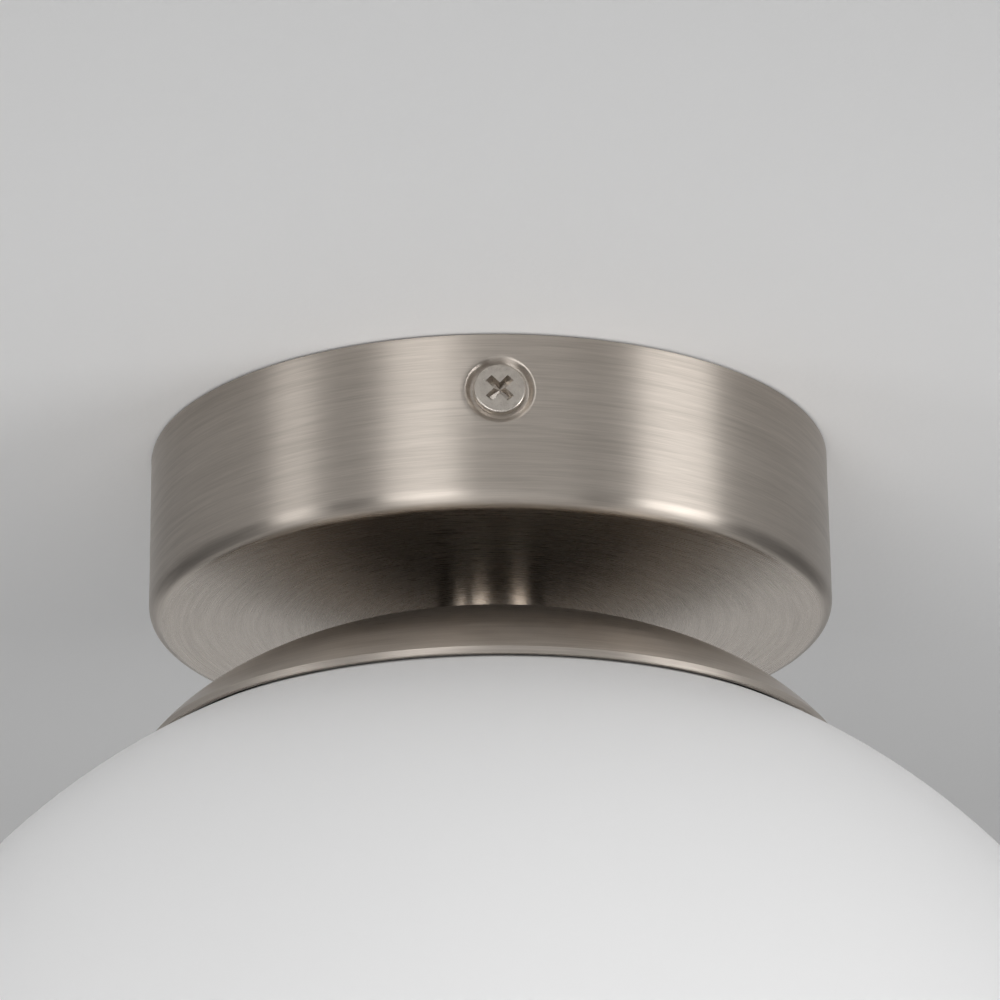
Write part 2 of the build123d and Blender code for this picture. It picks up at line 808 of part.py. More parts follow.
with BuildPart() as globe:
    with BuildSketch(Plane.XZ) as glass_section:
        with Locations((0, globe_z)):
            Circle(globe_radius)
            Circle(globe_inner_radius, mode=Mode.SUBTRACT)
            with Locations((globe_radius / 2, 0)):
                Rectangle(globe_radius, 2 * globe_radius, mode=Mode.INTERSECT)
            with Locations((globe_mouth_radius / 2, globe_radius / 2)):
                Rectangle(globe_mouth_radius, globe_radius, mode=Mode.SUBTRACT)
        # the mouth's edge is melted round
        mouth_corners = glass_section.vertices().filter_by(
            lambda corner: abs(corner.X - globe_mouth_radius) < running_clearance
        )
        fillet(mouth_corners, globe_edge_radius)
    revolve()
save(globe, "globe")

# ---------------------------------------------------------------- lampholder

with BuildPart() as lampholder_cap:
    shell = [
        (nipple_radius + running_clearance, cap_top_z),
        (cap_crown_radius, cap_top_z),
        (cap_radius, cap_top_z - cap_cone_height),
        (cap_radius, cap_base_z),
        (cap_inner_radius, cap_base_z),
        (cap_inner_radius, cap_top_z - cap_cone_height - cap_wall / 2),
        (cap_crown_radius + cap_wall / 4, cap_top_z - 1.4 * cap_wall),
        (cap_boss_radius, cap_top_z - 1.4 * cap_wall),
        (cap_boss_radius, cap_top_z - cap_boss_height),
        (nipple_radius + running_clearance, cap_top_z - cap_boss_height),
    ]
    revolve(half_section(shell, [0, 1.5, 4.0, 0.5, 0, 2.0, 0, 0, 0.5, 0]))
    # a moulded boss carries the grub screw from the cone's outside to the threaded tube
    with BuildSketch(Plane.YZ.offset(nipple_radius + 1.5)):
        with Locations((0, grub_screw_z)):
            Circle(grub_boss_radius)
    extrude(until=Until.NEXT)
    with BuildSketch(Plane.YZ.offset(nipple_radius)):
        with Locations((0, grub_screw_z)):
            Circle(grub_screw_radius + running_clearance)
    extrude(amount=cap_radius, mode=Mode.SUBTRACT)
save(lampholder_cap, "lampholder_cap")

with BuildPart() as lampholder_grub_screw:
    with BuildSketch(Plane.YZ.offset(nipple_radius + running_clearance)):
        with Locations((0, grub_screw_z)):
            Circle(grub_screw_radius)
    extrude(amount=grub_screw_length)
    outer_x = nipple_radius + running_clearance + grub_screw_length
    with BuildSketch(Plane.YZ.offset(outer_x)):
        with Locations((0, grub_screw_z)):
            Rectangle(driver_slot_width, 3 * grub_screw_radius)
    extrude(amount=-driver_slot_depth, mode=Mode.SUBTRACT)
save(lampholder_grub_screw, "lampholder_grub_screw")

wire_points = [(0, -wire_hole_offset), (0, wire_hole_offset)]
terminal_screw_points = [
    (side * terminal_screw_offset, side * wire_hole_offset) for side in (-1, 1)
]

with BuildPart() as lampholder_insert:
    core = [
        (0, insert_core_z),
        (insert_bore_radius, insert_core_z),
        (insert_bore_radius, insert_base_z),
        (insert_radius, insert_base_z),
        (insert_radius, spigot_top_z + seat_gap),
        (spigot_radius, spigot_top_z + seat_gap),
        (spigot_radius, insert_top_z),
        (0, insert_top_z),
    ]
    revolve(half_section(core, [0, 0.5, 0.3, 0.5, 0, 0.3, 0.5, 0]))
    # holes for the two leads and for the terminal screws beside them
    with BuildSketch(Plane.XY.offset(insert_top_z)):
        with Locations(*wire_points):
            Circle(lead_radius + assembly_clearance)
        with Locations(*terminal_screw_points):
            Circle(terminal_screw_radius + running_clearance)
    extrude(amount=-wire_hole_depth, mode=Mode.SUBTRACT)
    # slot across the underside for the centre contact's fixed end
    with BuildSketch(Plane.XY.offset(insert_core_z)):
        with Locations((-contact_anchor_x, 0)):
            Rectangle(
                contact_thickness + 2 * running_clearance,
                contact_width + 2 * running_clearance,
            )
    extrude(amount=contact_anchor_height + running_clearance, mode=Mode.SUBTRACT)
save(lampholder_insert, "lampholder_insert")

with BuildPart() as lampholder_centre_contact:
    # a brass tongue: its upright foot is pressed into the insert, its free end bears on the bulb
    with BuildSketch(Plane.XZ):
        with BuildLine():
            FilletPolyline(
                (-contact_anchor_x, insert_core_z + contact_anchor_height),
                (-contact_anchor_x, insert_core_z - contact_thickness),
                (-contact_anchor_x + 3.0, insert_core_z - contact_thickness),
                (0, contact_z + contact_thickness / 2),
                (contact_anchor_x / 2, contact_z + contact_drop - contact_thickness / 2),
                radius=[0.6, 1.5, 3.0],
            )
        trace(line_width=contact_thickness)
    extrude(amount=contact_width / 2, both=True)
save(lampholder_centre_contact, "lampholder_centre_contact")

with BuildPart() as lampholder_terminal_screws:
    for x, y in terminal_screw_points:
        seat = (x, y, insert_top_z + seat_gap)
        outline = screw(
            terminal_screw_radius,
            wire_hole_depth - assembly_clearance,
            terminal_head_radius,
            terminal_head_height,
            crown=0.4,
        )
        revolve(half_section(outline, 0, seat), axis=Axis(seat, (0, 0, 1)))
    with BuildSketch(Plane.XY.offset(insert_top_z + seat_gap + terminal_head_height)):
        with Locations(*terminal_screw_points):
            Rectangle(3 * terminal_head_radius, driver_slot_width)
    extrude(amount=-driver_slot_depth, mode=Mode.SUBTRACT)
save(lampholder_terminal_screws, "lampholder_terminal_screws")

with BuildPart() as lampholder_thread_sleeve:
    rolled = [
        (sleeve_radius - sleeve_thickness, sleeve_top_z - sleeve_height),
        (sleeve_radius, sleeve_top_z - sleeve_height),
        (sleeve_radius, sleeve_top_z),
        (sleeve_radius - 3 * sleeve_thickness, sleeve_top_z),
        (sleeve_radius - 3 * sleeve_thickness, sleeve_top_z - sleeve_thickness),
        (sleeve_radius - sleeve_thickness, sleeve_top_z - sleeve_thickness),
    ]
    revolve(half_section(rolled))
save(lampholder_thread_sleeve, "lampholder_thread_sleeve")

with BuildPart() as lampholder_skirt:
    sleeve_wall = [
        (spigot_inner_radius, skirt_top_z - skirt_flange),
        (cap_radius - skirt_wall, skirt_top_z - skirt_flange),
        (cap_radius - skirt_wall, skirt_base_z),
        (cap_radius, skirt_base_z),
        (cap_radius, skirt_top_z),
        (spigot_radius, skirt_top_z),
        (spigot_radius, spigot_top_z),
        (spigot_inner_radius, spigot_top_z),
    ]
    revolve(half_section(sleeve_wall, [0, 0.5, 0.8, 1.0, 0.3, 0, 0.4, 0.4]))
    # grip flutes round the outside
    with BuildSketch(Plane.XY.offset(skirt_top_z - skirt_flange)):
        with PolarLocations(cap_radius + flute_radius / 2, flute_count):
            Circle(flute_radius)
    extrude(amount=-0.7 * skirt_height, mode=Mode.SUBTRACT)
save(lampholder_skirt, "lampholder_skirt")

# ---------------------------------------------------------------- leads

lead_start_x = barrel_length / 2 + running_clearance
pole_reach = clamp_screw_offset
lead_entry_z = insert_top_z - lead_entry_depth
nipple_line = lead_spacing / 2


def lamp_lead_route(pole_y, first_reach, side):
    """From a pole of the terminal block, down the threaded tube, to a terminal of the insert."""
    return [
        (lead_start_x, pole_y, barrel_z),
        (first_reach, pole_y, barrel_z),
        (first_reach, side * nipple_line, barrel_z),
        (0, side * nipple_line, barrel_z),
        (0, side * nipple_line, nipple_base_z - lead_radius),
        (0, side * wire_hole_offset, insert_top_z + lead_bend_height),
        (0, side * wire_hole_offset, lead_entry_z),
    ]


live_route = lamp_lead_route(pole_ys[0], live_loop_x, 1)
neutral_route = lamp_lead_route(pole_ys[1], neutral_loop_x, -1)
earth_route = [
    (lead_start_x, pole_ys[2], barrel_z),
    (earth_loop_x - 5, pole_ys[2], barrel_z),
    (earth_loop_x, pole_ys[2] / 2, (barrel_z + crimp_z) / 2),
    (earth_loop_x - 2, 0, crimp_z),
    (crimp_start_x + crimp_length - crimp_overlap, 0, crimp_z),
]

save(insulated_lead(live_route, pole_reach, conductor_reach), "lead_live")
save(insulated_lead(neutral_route, pole_reach, conductor_reach), "lead_neutral")
save(insulated_lead(earth_route, pole_reach, conductor_reach), "lead_earth")

# ---------------------------------------------------------------- bulb

bulb_shoulder_z = bulb_top_z - bulb_contact_height - bulb_insulator_height
insulator_radius = bulb_base_radius - bulb_shoulder_inset

with BuildPart() as bulb_contact:
    disc = [
        (0, bulb_top_z - bulb_contact_height),
        (bulb_contact_radius, bulb_top_z - bulb_contact_height),
        (bulb_contact_radius, bulb_top_z),
        (0, bulb_top_z),
    ]
    revolve(half_section(disc, [0, 0, 0.6, 0]))
save(bulb_contact, "bulb_contact")

with BuildPart() as bulb_insulator:
    glass_cone = [
        (0, bulb_shoulder_z),
        (insulator_radius, bulb_shoulder_z),
        (bulb_contact_radius + 0.8, bulb_top_z - bulb_contact_height),
        (0, bulb_top_z - bulb_contact_height),
    ]
    revolve(half_section(glass_cone))
save(bulb_insulator, "bulb_insulator")

with BuildPart() as bulb_base:
    shell = [
        (0, bulb_shoulder_z - bulb_base_wall),
        (bulb_base_radius - bulb_base_wall, bulb_shoulder_z - bulb_shoulder_inset),
        (bulb_base_radius - bulb_base_wall, bulb_base_z),
        (bulb_base_radius, bulb_base_z),
        (bulb_base_radius, bulb_shoulder_z - bulb_shoulder_inset + 2 * bulb_base_wall),
        (insulator_radius + bulb_base_wall, bulb_shoulder_z),
        (0, bulb_shoulder_z),
    ]
    revolve(half_section(shell))
save(bulb_base, "bulb_base")

with BuildPart() as bulb_housing:
    # a plug inside the base, then a body that flares to the dome
    plug_radius = bulb_base_radius - bulb_base_wall
    plug_top_z = bulb_shoulder_z - bulb_plug_depth
    waist_radius = bulb_base_radius + bulb_waist_step
    waist_z = bulb_base_z - bulb_waist_height
    flare_z = bulb_housing_z + bulb_flare_height
    with BuildSketch(Plane.XZ):
        with BuildLine():
            Polyline(
                (0, bulb_housing_z),
                (0, plug_top_z),
                (plug_radius, plug_top_z),
                (plug_radius, bulb_base_z),
                (waist_radius, bulb_base_z),
                (waist_radius, waist_z),
            )
            Spline(
                (waist_radius, waist_z),
                (bulb_radius, flare_z),
                tangents=[(0, -1), (0.12, -1)],
                tangent_scalars=[1.0, 1.0],
            )
            Polyline((bulb_radius, flare_z), (bulb_radius, bulb_housing_z), (0, bulb_housing_z))
        make_face()
    revolve()
save(bulb_housing, "bulb_housing")

with BuildPart() as bulb_dome:
    # a hemisphere under a short straight rim
    with BuildSketch(Plane.XZ):
        with BuildLine():
            CenterArc((0, bulb_dome_centre_z), bulb_dome_radius, start_angle=-90, arc_size=90)
            Polyline(
                (bulb_dome_radius, bulb_dome_centre_z),
                (bulb_dome_radius, bulb_housing_z),
                (0, bulb_housing_z),
                (0, bulb_tip_z),
            )
        make_face()
    revolve()
save(bulb_dome, "bulb_dome")
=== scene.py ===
"""Looks of a flush mount ceiling light: brushed nickel canopy and dome, opal glass globe.

Everything is in metres, in the frame's own axes: the ceiling is z = 0, the lamp hangs along -Z
and its two canopy screws lie on the Y axis. Sizes are read from the frame's nodes, and what
only shows up close, such as fillets, recesses and threads, has its own named value here.
"""

import json
import logging
import math
from dataclasses import dataclass, field
from enum import Enum

import bmesh
import bpy
from mathutils import Matrix, Vector


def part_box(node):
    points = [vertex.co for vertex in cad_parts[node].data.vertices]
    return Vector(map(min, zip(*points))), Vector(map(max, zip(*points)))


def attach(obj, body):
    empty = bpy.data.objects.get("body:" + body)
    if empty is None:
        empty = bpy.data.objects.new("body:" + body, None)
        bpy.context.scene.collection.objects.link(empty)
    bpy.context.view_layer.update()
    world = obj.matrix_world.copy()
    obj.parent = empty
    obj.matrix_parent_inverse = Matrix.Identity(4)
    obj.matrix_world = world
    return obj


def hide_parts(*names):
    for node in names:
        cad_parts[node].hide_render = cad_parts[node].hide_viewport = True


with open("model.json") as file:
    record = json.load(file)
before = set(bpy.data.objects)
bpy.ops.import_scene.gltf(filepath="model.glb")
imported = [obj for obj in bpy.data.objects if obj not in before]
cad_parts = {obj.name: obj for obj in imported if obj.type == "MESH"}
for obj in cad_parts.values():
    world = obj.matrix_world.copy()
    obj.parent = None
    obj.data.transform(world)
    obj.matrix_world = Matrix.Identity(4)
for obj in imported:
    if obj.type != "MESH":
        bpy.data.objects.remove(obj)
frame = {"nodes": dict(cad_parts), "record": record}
log = logging.getLogger("ceiling_light")

MM = 0.001
UP = Vector((0, 0, 1))

# How near to each other vertices have to be for a merge, in metres.
MERGE = 1e-6
FINE_MERGE = 1e-7

# A place in the (radius, z) plane.
Point = tuple[float, float]

# Nearly all of a noise's values lie between these two.
NOISE_LOW = 0.3
NOISE_HIGH = 0.7


# ---- node trees ----


class Nodes:
    """A node tree, with short calls that add nodes and feed them."""

    def __init__(self, tree: bpy.types.NodeTree) -> None:
        """Empty a node tree to build in it.

        Args:
            tree: The node tree.
        """
        self.tree = tree
        self.tree.nodes.clear()

    def feed(self, socket: bpy.types.NodeSocket, value: object) -> None:
        """Set an input to a value, or link it to the output that is given as one."""
        if isinstance(value, bpy.types.NodeSocket):
            self.tree.links.new(value, socket)
        else:
            socket.default_value = value

    def add(self, kind: str, inputs: dict | None = None, **settings: object) -> bpy.types.Node:
        """Add a node.

        Args:
            kind: The node's type name.
            inputs: Socket name or index to a value, or to the socket that feeds it.
            settings: The node's own properties.

        Returns:
            The new node.
        """
        node = self.tree.nodes.new(kind)
        for key, value in settings.items():
            setattr(node, key, value)
        for key, value in (inputs or {}).items():
            self.feed(node.inputs[key], value)
        return node

    def math(self, operation: str, *values: object) -> bpy.types.NodeSocket:
        """Return the result of a Math node on up to three values or sockets."""
        node = self.add("ShaderNodeMath", dict(enumerate(values)), operation=operation)
        return node.outputs[0]

    def place(self) -> bpy.types.NodeSocket:
        """Return the Object coordinates."""
        return self.add("ShaderNodeTexCoord").outputs["Object"]

    def noise(self, vector: object, scale: float, detail: float = 2.0) -> bpy.types.NodeSocket:
        """Return a noise factor over the given coordinates."""
        inputs = {"Vector": vector, "Scale": scale, "Detail": detail}
        return self.add("ShaderNodeTexNoise", inputs).outputs[0]

    def remap(
        self,
        value: object,
        low: float,
        high: float,
        to_low: float,
        to_high: float,
        curve: str = "LINEAR",
    ) -> bpy.types.NodeSocket:
        """Return a value mapped and clamped from one range to another."""
        inputs = {0: value, 1: low, 2: high, 3: to_low, 4: to_high}
        return self.add("ShaderNodeMapRange", inputs, interpolation_type=curve).outputs[0]

    def vary(self, noise: object, middle: float, reach: float) -> bpy.types.NodeSocket:
        """Return a value that a noise moves up and down.

        Args:
            noise: The noise factor.
            middle: The value where the noise is at its middle.
            reach: How far the value goes to either side.

        Returns:
            The varied value.
        """
        return self.remap(noise, NOISE_LOW, NOISE_HIGH, middle - reach, middle + reach)

    def tint(self, factor: object, first: tuple, second: tuple) -> bpy.types.NodeSocket:
        """Return a mix of two colours by a factor."""
        inputs = {"Factor": factor, "A": (*first, 1.0), "B": (*second, 1.0)}
        return self.add("ShaderNodeMix", inputs, data_type="RGBA").outputs["Result"]


class Shader(Nodes):
    """A material with a Principled surface."""

    def __init__(self, name: str) -> None:
        """Start the material.

        Args:
            name: The material's name.
        """
        self.material = bpy.data.materials.new(name)
        self.material.use_nodes = True
        super().__init__(self.material.node_tree)
        self.surface = self.add("ShaderNodeBsdfPrincipled")
        self.output = self.add("ShaderNodeOutputMaterial", {"Surface": self.surface.outputs[0]})

    def set(self, **values: object) -> None:
        """Set or feed the surface's sockets, with _ for a space in their names."""
        for key, value in values.items():
            self.feed(self.surface.inputs[key.replace("_", " ")], value)

    def relief(self, height: object, depth: float, strength: float = 1.0) -> None:
        """Give the surface a bump of a real depth.

        Args:
            height: Socket with the height, from 0 to 1.
            depth: The height's full reach in metres.
            strength: How strongly it turns the normal.
        """
        inputs = {"Height": height, "Strength": strength, "Distance": depth}
        self.set(Normal=self.add("ShaderNodeBump", inputs).outputs["Normal"])


# ---- finishes ----


@dataclass(frozen=True)
class BrushedNickel:
    """Satin nickel, brushed in circles round the lamp's axis.

    Attributes:
        light: Colour of the crests of the brush lines.
        dark: Colour of their troughs.
        roughness: Middle roughness.
        anisotropy: How much the lines stretch a reflection.
        line_length: Length of a brush line along the circle, in metres.
        line_width: Width of a brush line.
        line_depth: Depth of a brush line.
        turn_radius: Distance from the axis at which a line has that length.
        across_lines: Turn of the stretch against the lines, where 1 is a full circle.
        level_roughness: Roughness where the face lies level, turned smoother than a wall.
        level_anisotropy: Stretch of a reflection there.
        level_span: Upward share of the normal over which a wall's finish becomes a level one's.
        fine_share: How much of the pattern is made by fine lines, the rest being broad ones.
        broad_size: Width of a broad line as a multiple of line_width.
        line_fade: Strength of each finer octave of the noise beside the one before.
        contrast: Span of the pattern over which the colour goes from dark to light.
        line_wear: How far the lines move the roughness.
        cloud_wear: How far broad clouds of wear move it.
        cloud_scale: Noise scale of those clouds.
    """

    light: tuple = (0.58, 0.525, 0.47)
    dark: tuple = (0.45, 0.405, 0.36)
    roughness: float = 0.40
    anisotropy: float = 0.95
    line_length: float = 7.0 * MM
    line_width: float = 0.13 * MM
    line_depth: float = 0.004 * MM
    turn_radius: float = 50.0 * MM
    across_lines: float = 0.25
    level_roughness: float = 0.27
    level_anisotropy: float = 0.15
    level_span: tuple = (0.75, 0.99)
    fine_share: float = 0.55
    broad_size: float = 4.5
    line_fade: float = 0.6
    contrast: tuple = (0.36, 0.64)
    line_wear: float = 0.05
    cloud_wear: float = 0.02
    cloud_scale: float = 40.0

    def make(self, name: str) -> bpy.types.Material:
        """Return the material under the given name."""
        shader = Shader(name)
        place = shader.place()
        split = shader.add("ShaderNodeSeparateXYZ", {0: place})
        across = shader.add(
            "ShaderNodeCombineXYZ", {0: split.outputs[0], 1: split.outputs[1], 2: 0.0}
        ).outputs[0]
        reach = shader.add("ShaderNodeVectorMath", {0: across}, operation="LENGTH").outputs["Value"]
        outward = shader.add(
            "ShaderNodeVectorMath", {0: across}, operation="NORMALIZE"
        ).outputs[0]
        along = shader.add(
            "ShaderNodeVectorMath", {0: tuple(UP), 1: outward}, operation="CROSS_PRODUCT"
        ).outputs[0]
        height = split.outputs[2]
        fine = self._lines(shader, outward, height, reach, size=1.0, detail=3.0)
        broad = self._lines(shader, outward, height, reach, size=self.broad_size, detail=2.0)
        cloud = shader.noise(place, self.cloud_scale, detail=3.0)
        fine_part = shader.math("MULTIPLY", fine, self.fine_share)
        blend = shader.math("MULTIPLY_ADD", broad, 1.0 - self.fine_share, fine_part)
        colour = shader.tint(shader.remap(blend, *self.contrast, 0.0, 1.0), self.dark, self.light)
        facing = shader.add("ShaderNodeNewGeometry").outputs["Normal"]
        rise = shader.add("ShaderNodeSeparateXYZ", {0: facing}).outputs[2]
        level = shader.math("ABSOLUTE", rise)
        middle = shader.remap(level, *self.level_span, self.roughness, self.level_roughness)
        stretch = shader.remap(level, *self.level_span, self.anisotropy, self.level_anisotropy)
        scuffs = shader.vary(fine, 0.0, self.line_wear)
        wear = shader.math("ADD", scuffs, shader.vary(cloud, 0.0, self.cloud_wear))
        shader.set(
            Base_Color=colour,
            Metallic=1.0,
            Roughness=shader.math("ADD", middle, wear),
            Anisotropic=stretch,
            Anisotropic_Rotation=self.across_lines,
            Tangent=along,
        )
        shader.relief(blend, self.line_depth)
        return shader.material

    def _lines(
        self,
        shader: Shader,
        outward: bpy.types.NodeSocket,
        height: bpy.types.NodeSocket,
        reach: bpy.types.NodeSocket,
        size: float,
        detail: float,
    ) -> bpy.types.NodeSocket:
        """Return noise drawn out along circles round the axis.

        Args:
            shader: The material in hand.
            outward: Unit direction from the axis.
            height: The place's z.
            reach: Its distance from the axis.
            size: Line width as a multiple of line_width.
            detail: Noise detail.

        Returns:
            The noise factor.
        """
        round_scale = self.turn_radius / (self.line_length * math.sqrt(size))
        cross_scale = 1.0 / (self.line_width * size)
        circle = shader.add(
            "ShaderNodeVectorMath", {0: outward, 3: round_scale}, operation="SCALE"
        ).outputs[0]
        lift = shader.add(
            "ShaderNodeCombineXYZ", {2: shader.math("MULTIPLY", height, cross_scale)}
        ).outputs[0]
        vector = shader.add("ShaderNodeVectorMath", {0: circle, 1: lift}, operation="ADD").outputs[0]
        return shader.add(
            "ShaderNodeTexNoise",
            {
                "Vector": vector,
                "W": shader.math("MULTIPLY", reach, cross_scale),
                "Scale": 1.0,
                "Detail": detail,
                "Roughness": self.line_fade,
            },
            noise_dimensions="4D",
        ).outputs[0]


@dataclass(frozen=True)
class PlainMetal:
    """A small metal part's finish: plated, turned or rolled, with faint wear.

    Attributes:
        light: Colour where it is clean.
        dark: Colour in its faint stains.
        roughness: Middle roughness.
        grain: Size of the stains, in metres.
        relief_depth: Depth of the pits.
        pits_per_stain: How many pits there are across a stain.
        stain_span: Span of the noise over which the colour goes from dark to light.
        wear: How far the pits move the roughness.
    """

    light: tuple
    dark: tuple
    roughness: float = 0.28
    grain: float = 2.0 * MM
    relief_depth: float = 0.004 * MM
    pits_per_stain: float = 9.0
    stain_span: tuple = (0.35, 0.65)
    wear: float = 0.07

    def make(self, name: str) -> bpy.types.Material:
        """Return the material under the given name."""
        shader = Shader(name)
        place = shader.place()
        stain = shader.noise(place, 1.0 / self.grain, detail=4.0)
        pitting = shader.noise(place, self.pits_per_stain / self.grain)
        shade = shader.remap(stain, *self.stain_span, 0.0, 1.0)
        shader.set(
            Base_Color=shader.tint(shade, self.dark, self.light),
            Metallic=1.0,
            Roughness=shader.vary(pitting, self.roughness, self.wear),
        )
        shader.relief(pitting, self.relief_depth)
        return shader.material


@dataclass(frozen=True)
class Moulded:
    """Moulded plastic, ceramic, rubber or glass.

    Attributes:
        colour: Its colour.
        shade: The colour that it has in its faint clouds.
        roughness: Middle roughness.
        grain: Size of the skin's grain, in metres.
        relief_depth: Depth of that grain.
        relief_strength: How strongly the grain turns the normal.
        wear: How far the grain moves the roughness.
        cloud_scale: Noise scale of the clouds.
        gloss: Level of its reflection, where 0.5 is the usual one.
    """

    colour: tuple
    shade: tuple
    roughness: float = 0.4
    grain: float = 0.35 * MM
    relief_depth: float = 0.01 * MM
    relief_strength: float = 1.0
    wear: float = 0.06
    cloud_scale: float = 120.0
    gloss: float = 0.5

    def make(self, name: str) -> bpy.types.Material:
        """Return the material under the given name."""
        shader = Shader(name)
        place = shader.place()
        cloud = shader.noise(place, self.cloud_scale, detail=3.0)
        grain = shader.noise(place, 1.0 / self.grain)
        shader.set(
            Base_Color=shader.tint(cloud, self.shade, self.colour),
            Roughness=shader.vary(grain, self.roughness, self.wear),
            Specular_IOR_Level=self.gloss,
        )
        shader.relief(grain, self.relief_depth, self.relief_strength)
        return shader.material


@dataclass(frozen=True)
class OpalGlass(Moulded):
    """White opal glass with a satin face, whose grain is a fine frosting."""

    colour: tuple = (0.87, 0.87, 0.87)
    shade: tuple = (0.85, 0.85, 0.852)
    roughness: float = 0.42
    grain: float = MM / 2.6
    relief_depth: float = 0.002 * MM
    relief_strength: float = 0.6
    wear: float = 0.03
    cloud_scale: float = 18.0
    gloss: float = 0.35


@dataclass(frozen=True)
class StripedInsulation:
    """Green wire insulation with yellow stripes.

    Attributes:
        green: Colour of the ground.
        yellow: Colour of the stripes.
        stripe: Length of a green and a yellow stripe together along X, Y or Z, in metres.
        softness: Reach of the wave to either side of 0 in which the two colours mix.
        roughness: Middle roughness.
        wear: How far the skin moves the roughness.
        skin_scale: Noise scale of the skin.
        skin_depth: Depth of the skin's grain, in metres.
    """

    green: tuple = (0.05, 0.28, 0.05)
    yellow: tuple = (0.80, 0.62, 0.04)
    stripe: float = 2.2 * MM
    softness: float = 0.15
    roughness: float = 0.36
    wear: float = 0.06
    skin_scale: float = 1500.0
    skin_depth: float = 0.008 * MM

    def make(self, name: str) -> bpy.types.Material:
        """Return the material under the given name."""
        shader = Shader(name)
        place = shader.place()
        split = shader.add("ShaderNodeSeparateXYZ", {0: place})
        upright = shader.math("ADD", split.outputs[1], split.outputs[2])
        slant = shader.math("ADD", split.outputs[0], upright)
        wave = shader.math("SINE", shader.math("MULTIPLY", slant, math.tau / self.stripe))
        edge = shader.remap(wave, -self.softness, self.softness, 0.0, 1.0)
        skin = shader.noise(place, self.skin_scale)
        shader.set(
            Base_Color=shader.tint(edge, self.green, self.yellow),
            Roughness=shader.vary(skin, self.roughness, self.wear),
        )
        shader.relief(skin, self.skin_depth)
        return shader.material


# ---- meshes ----


def arc(centre: Point, radii: Point, start: float, stop: float, steps: int) -> list[Point]:
    """Points along an arc of an ellipse in the (radius, z) plane.

    Args:
        centre: The ellipse's centre.
        radii: Its half axes along the radius and along z.
        start: First angle in degrees, from +radius towards +z.
        stop: Last angle in degrees.
        steps: Number of spans.

    Returns:
        steps + 1 points.
    """
    angles = [math.radians(start + (stop - start) * n / steps) for n in range(steps + 1)]
    return [(centre[0] + radii[0] * math.cos(a), centre[1] + radii[1] * math.sin(a)) for a in angles]


def line(first: Point, last: Point, steps: int) -> list[Point]:
    """Evenly spaced points from first to last in the (radius, z) plane, both included."""
    return [
        (first[0] + (last[0] - first[0]) * n / steps, first[1] + (last[1] - first[1]) * n / steps)
        for n in range(steps + 1)
    ]


def lay_profile(shape: bmesh.types.BMesh, points: list, closed: bool, start: float = 0.0) -> list:
    """Lay a profile in the upright plane at an angle round Z.

    Args:
        shape: The bmesh in hand.
        points: (radius, z) points.
        closed: Whether the last point joins the first.
        start: The plane's angle in radians, from +X.

    Returns:
        The new vertices and edges.
    """
    verts = [
        shape.verts.new((radius * math.cos(start), radius * math.sin(start), z))
        for radius, z in points
    ]
    pairs = list(zip(verts, verts[1:])) + ([(verts[-1], verts[0])] if closed else [])
    return verts + [shape.edges.new(pair) for pair in pairs]


def turned(points: list, steps: int, closed: bool = True) -> bmesh.types.BMesh:
    """Spin a profile of (radius, z) points into a closed solid about Z.

    Args:
        points: The profile, without points that repeat.
        steps: Segments round the axis.
        closed: Whether the profile is a loop, as a ring's is.

    Returns:
        A new bmesh.
    """
    shape = bmesh.new()
    geom = lay_profile(shape, points, closed)
    bmesh.ops.spin(shape, geom=geom, axis=UP, angle=math.tau, steps=steps, use_merge=True)
    bmesh.ops.remove_doubles(shape, verts=shape.verts, dist=FINE_MERGE)
    bmesh.ops.recalc_face_normals(shape, faces=shape.faces)
    return shape


def extrude(shape: bmesh.types.BMesh, edges: list) -> tuple[list, list]:
    """Extrude edges in place, and return the new vertices and the new open edges."""
    made = bmesh.ops.extrude_edge_only(shape, edges=edges)["geom"]
    verts = [item for item in made if isinstance(item, bmesh.types.BMVert)]
    rim = [item for item in made if isinstance(item, bmesh.types.BMEdge) and item.is_boundary]
    return verts, rim


def link(name: str, data: bpy.types.ID) -> bpy.types.Object:
    """Put a new object with the given data into the scene."""
    made = bpy.data.objects.new(name, data)
    bpy.context.scene.collection.objects.link(made)
    return made


def smooth(shape: bmesh.types.BMesh, angle: float) -> None:
    """Shade every face smooth and mark edges sharper than an angle in degrees as sharp."""
    limit = math.radians(angle)
    for face in shape.faces:
        face.smooth = True
    for edge in shape.edges:
        edge.smooth = not (edge.is_manifold and edge.calc_face_angle(0.0) > limit)


def piece(
    name: str,
    shape: bmesh.types.BMesh,
    body: str,
    material: bpy.types.Material,
    nodes: tuple[str, ...],
    sharp: float,
) -> bpy.types.Object:
    """Turn a bmesh into a dressed piece that rides on a body.

    Args:
        name: The piece's name.
        shape: Its bmesh, which is freed.
        body: The body that it moves with.
        material: Its finish.
        nodes: The CAD nodes that it stands for.
        sharp: Angle in degrees past which an edge is shaded sharp.

    Returns:
        The new object.
    """
    smooth(shape, sharp)
    mesh = bpy.data.meshes.new(name)
    shape.to_mesh(mesh)
    shape.free()
    mesh.materials.append(material)
    made = link(name, mesh)
    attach(made, body)
    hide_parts(*nodes)
    log.info("%s: %d faces on body %s", name, len(mesh.polygons), body)
    return made


# ---- canopy ----


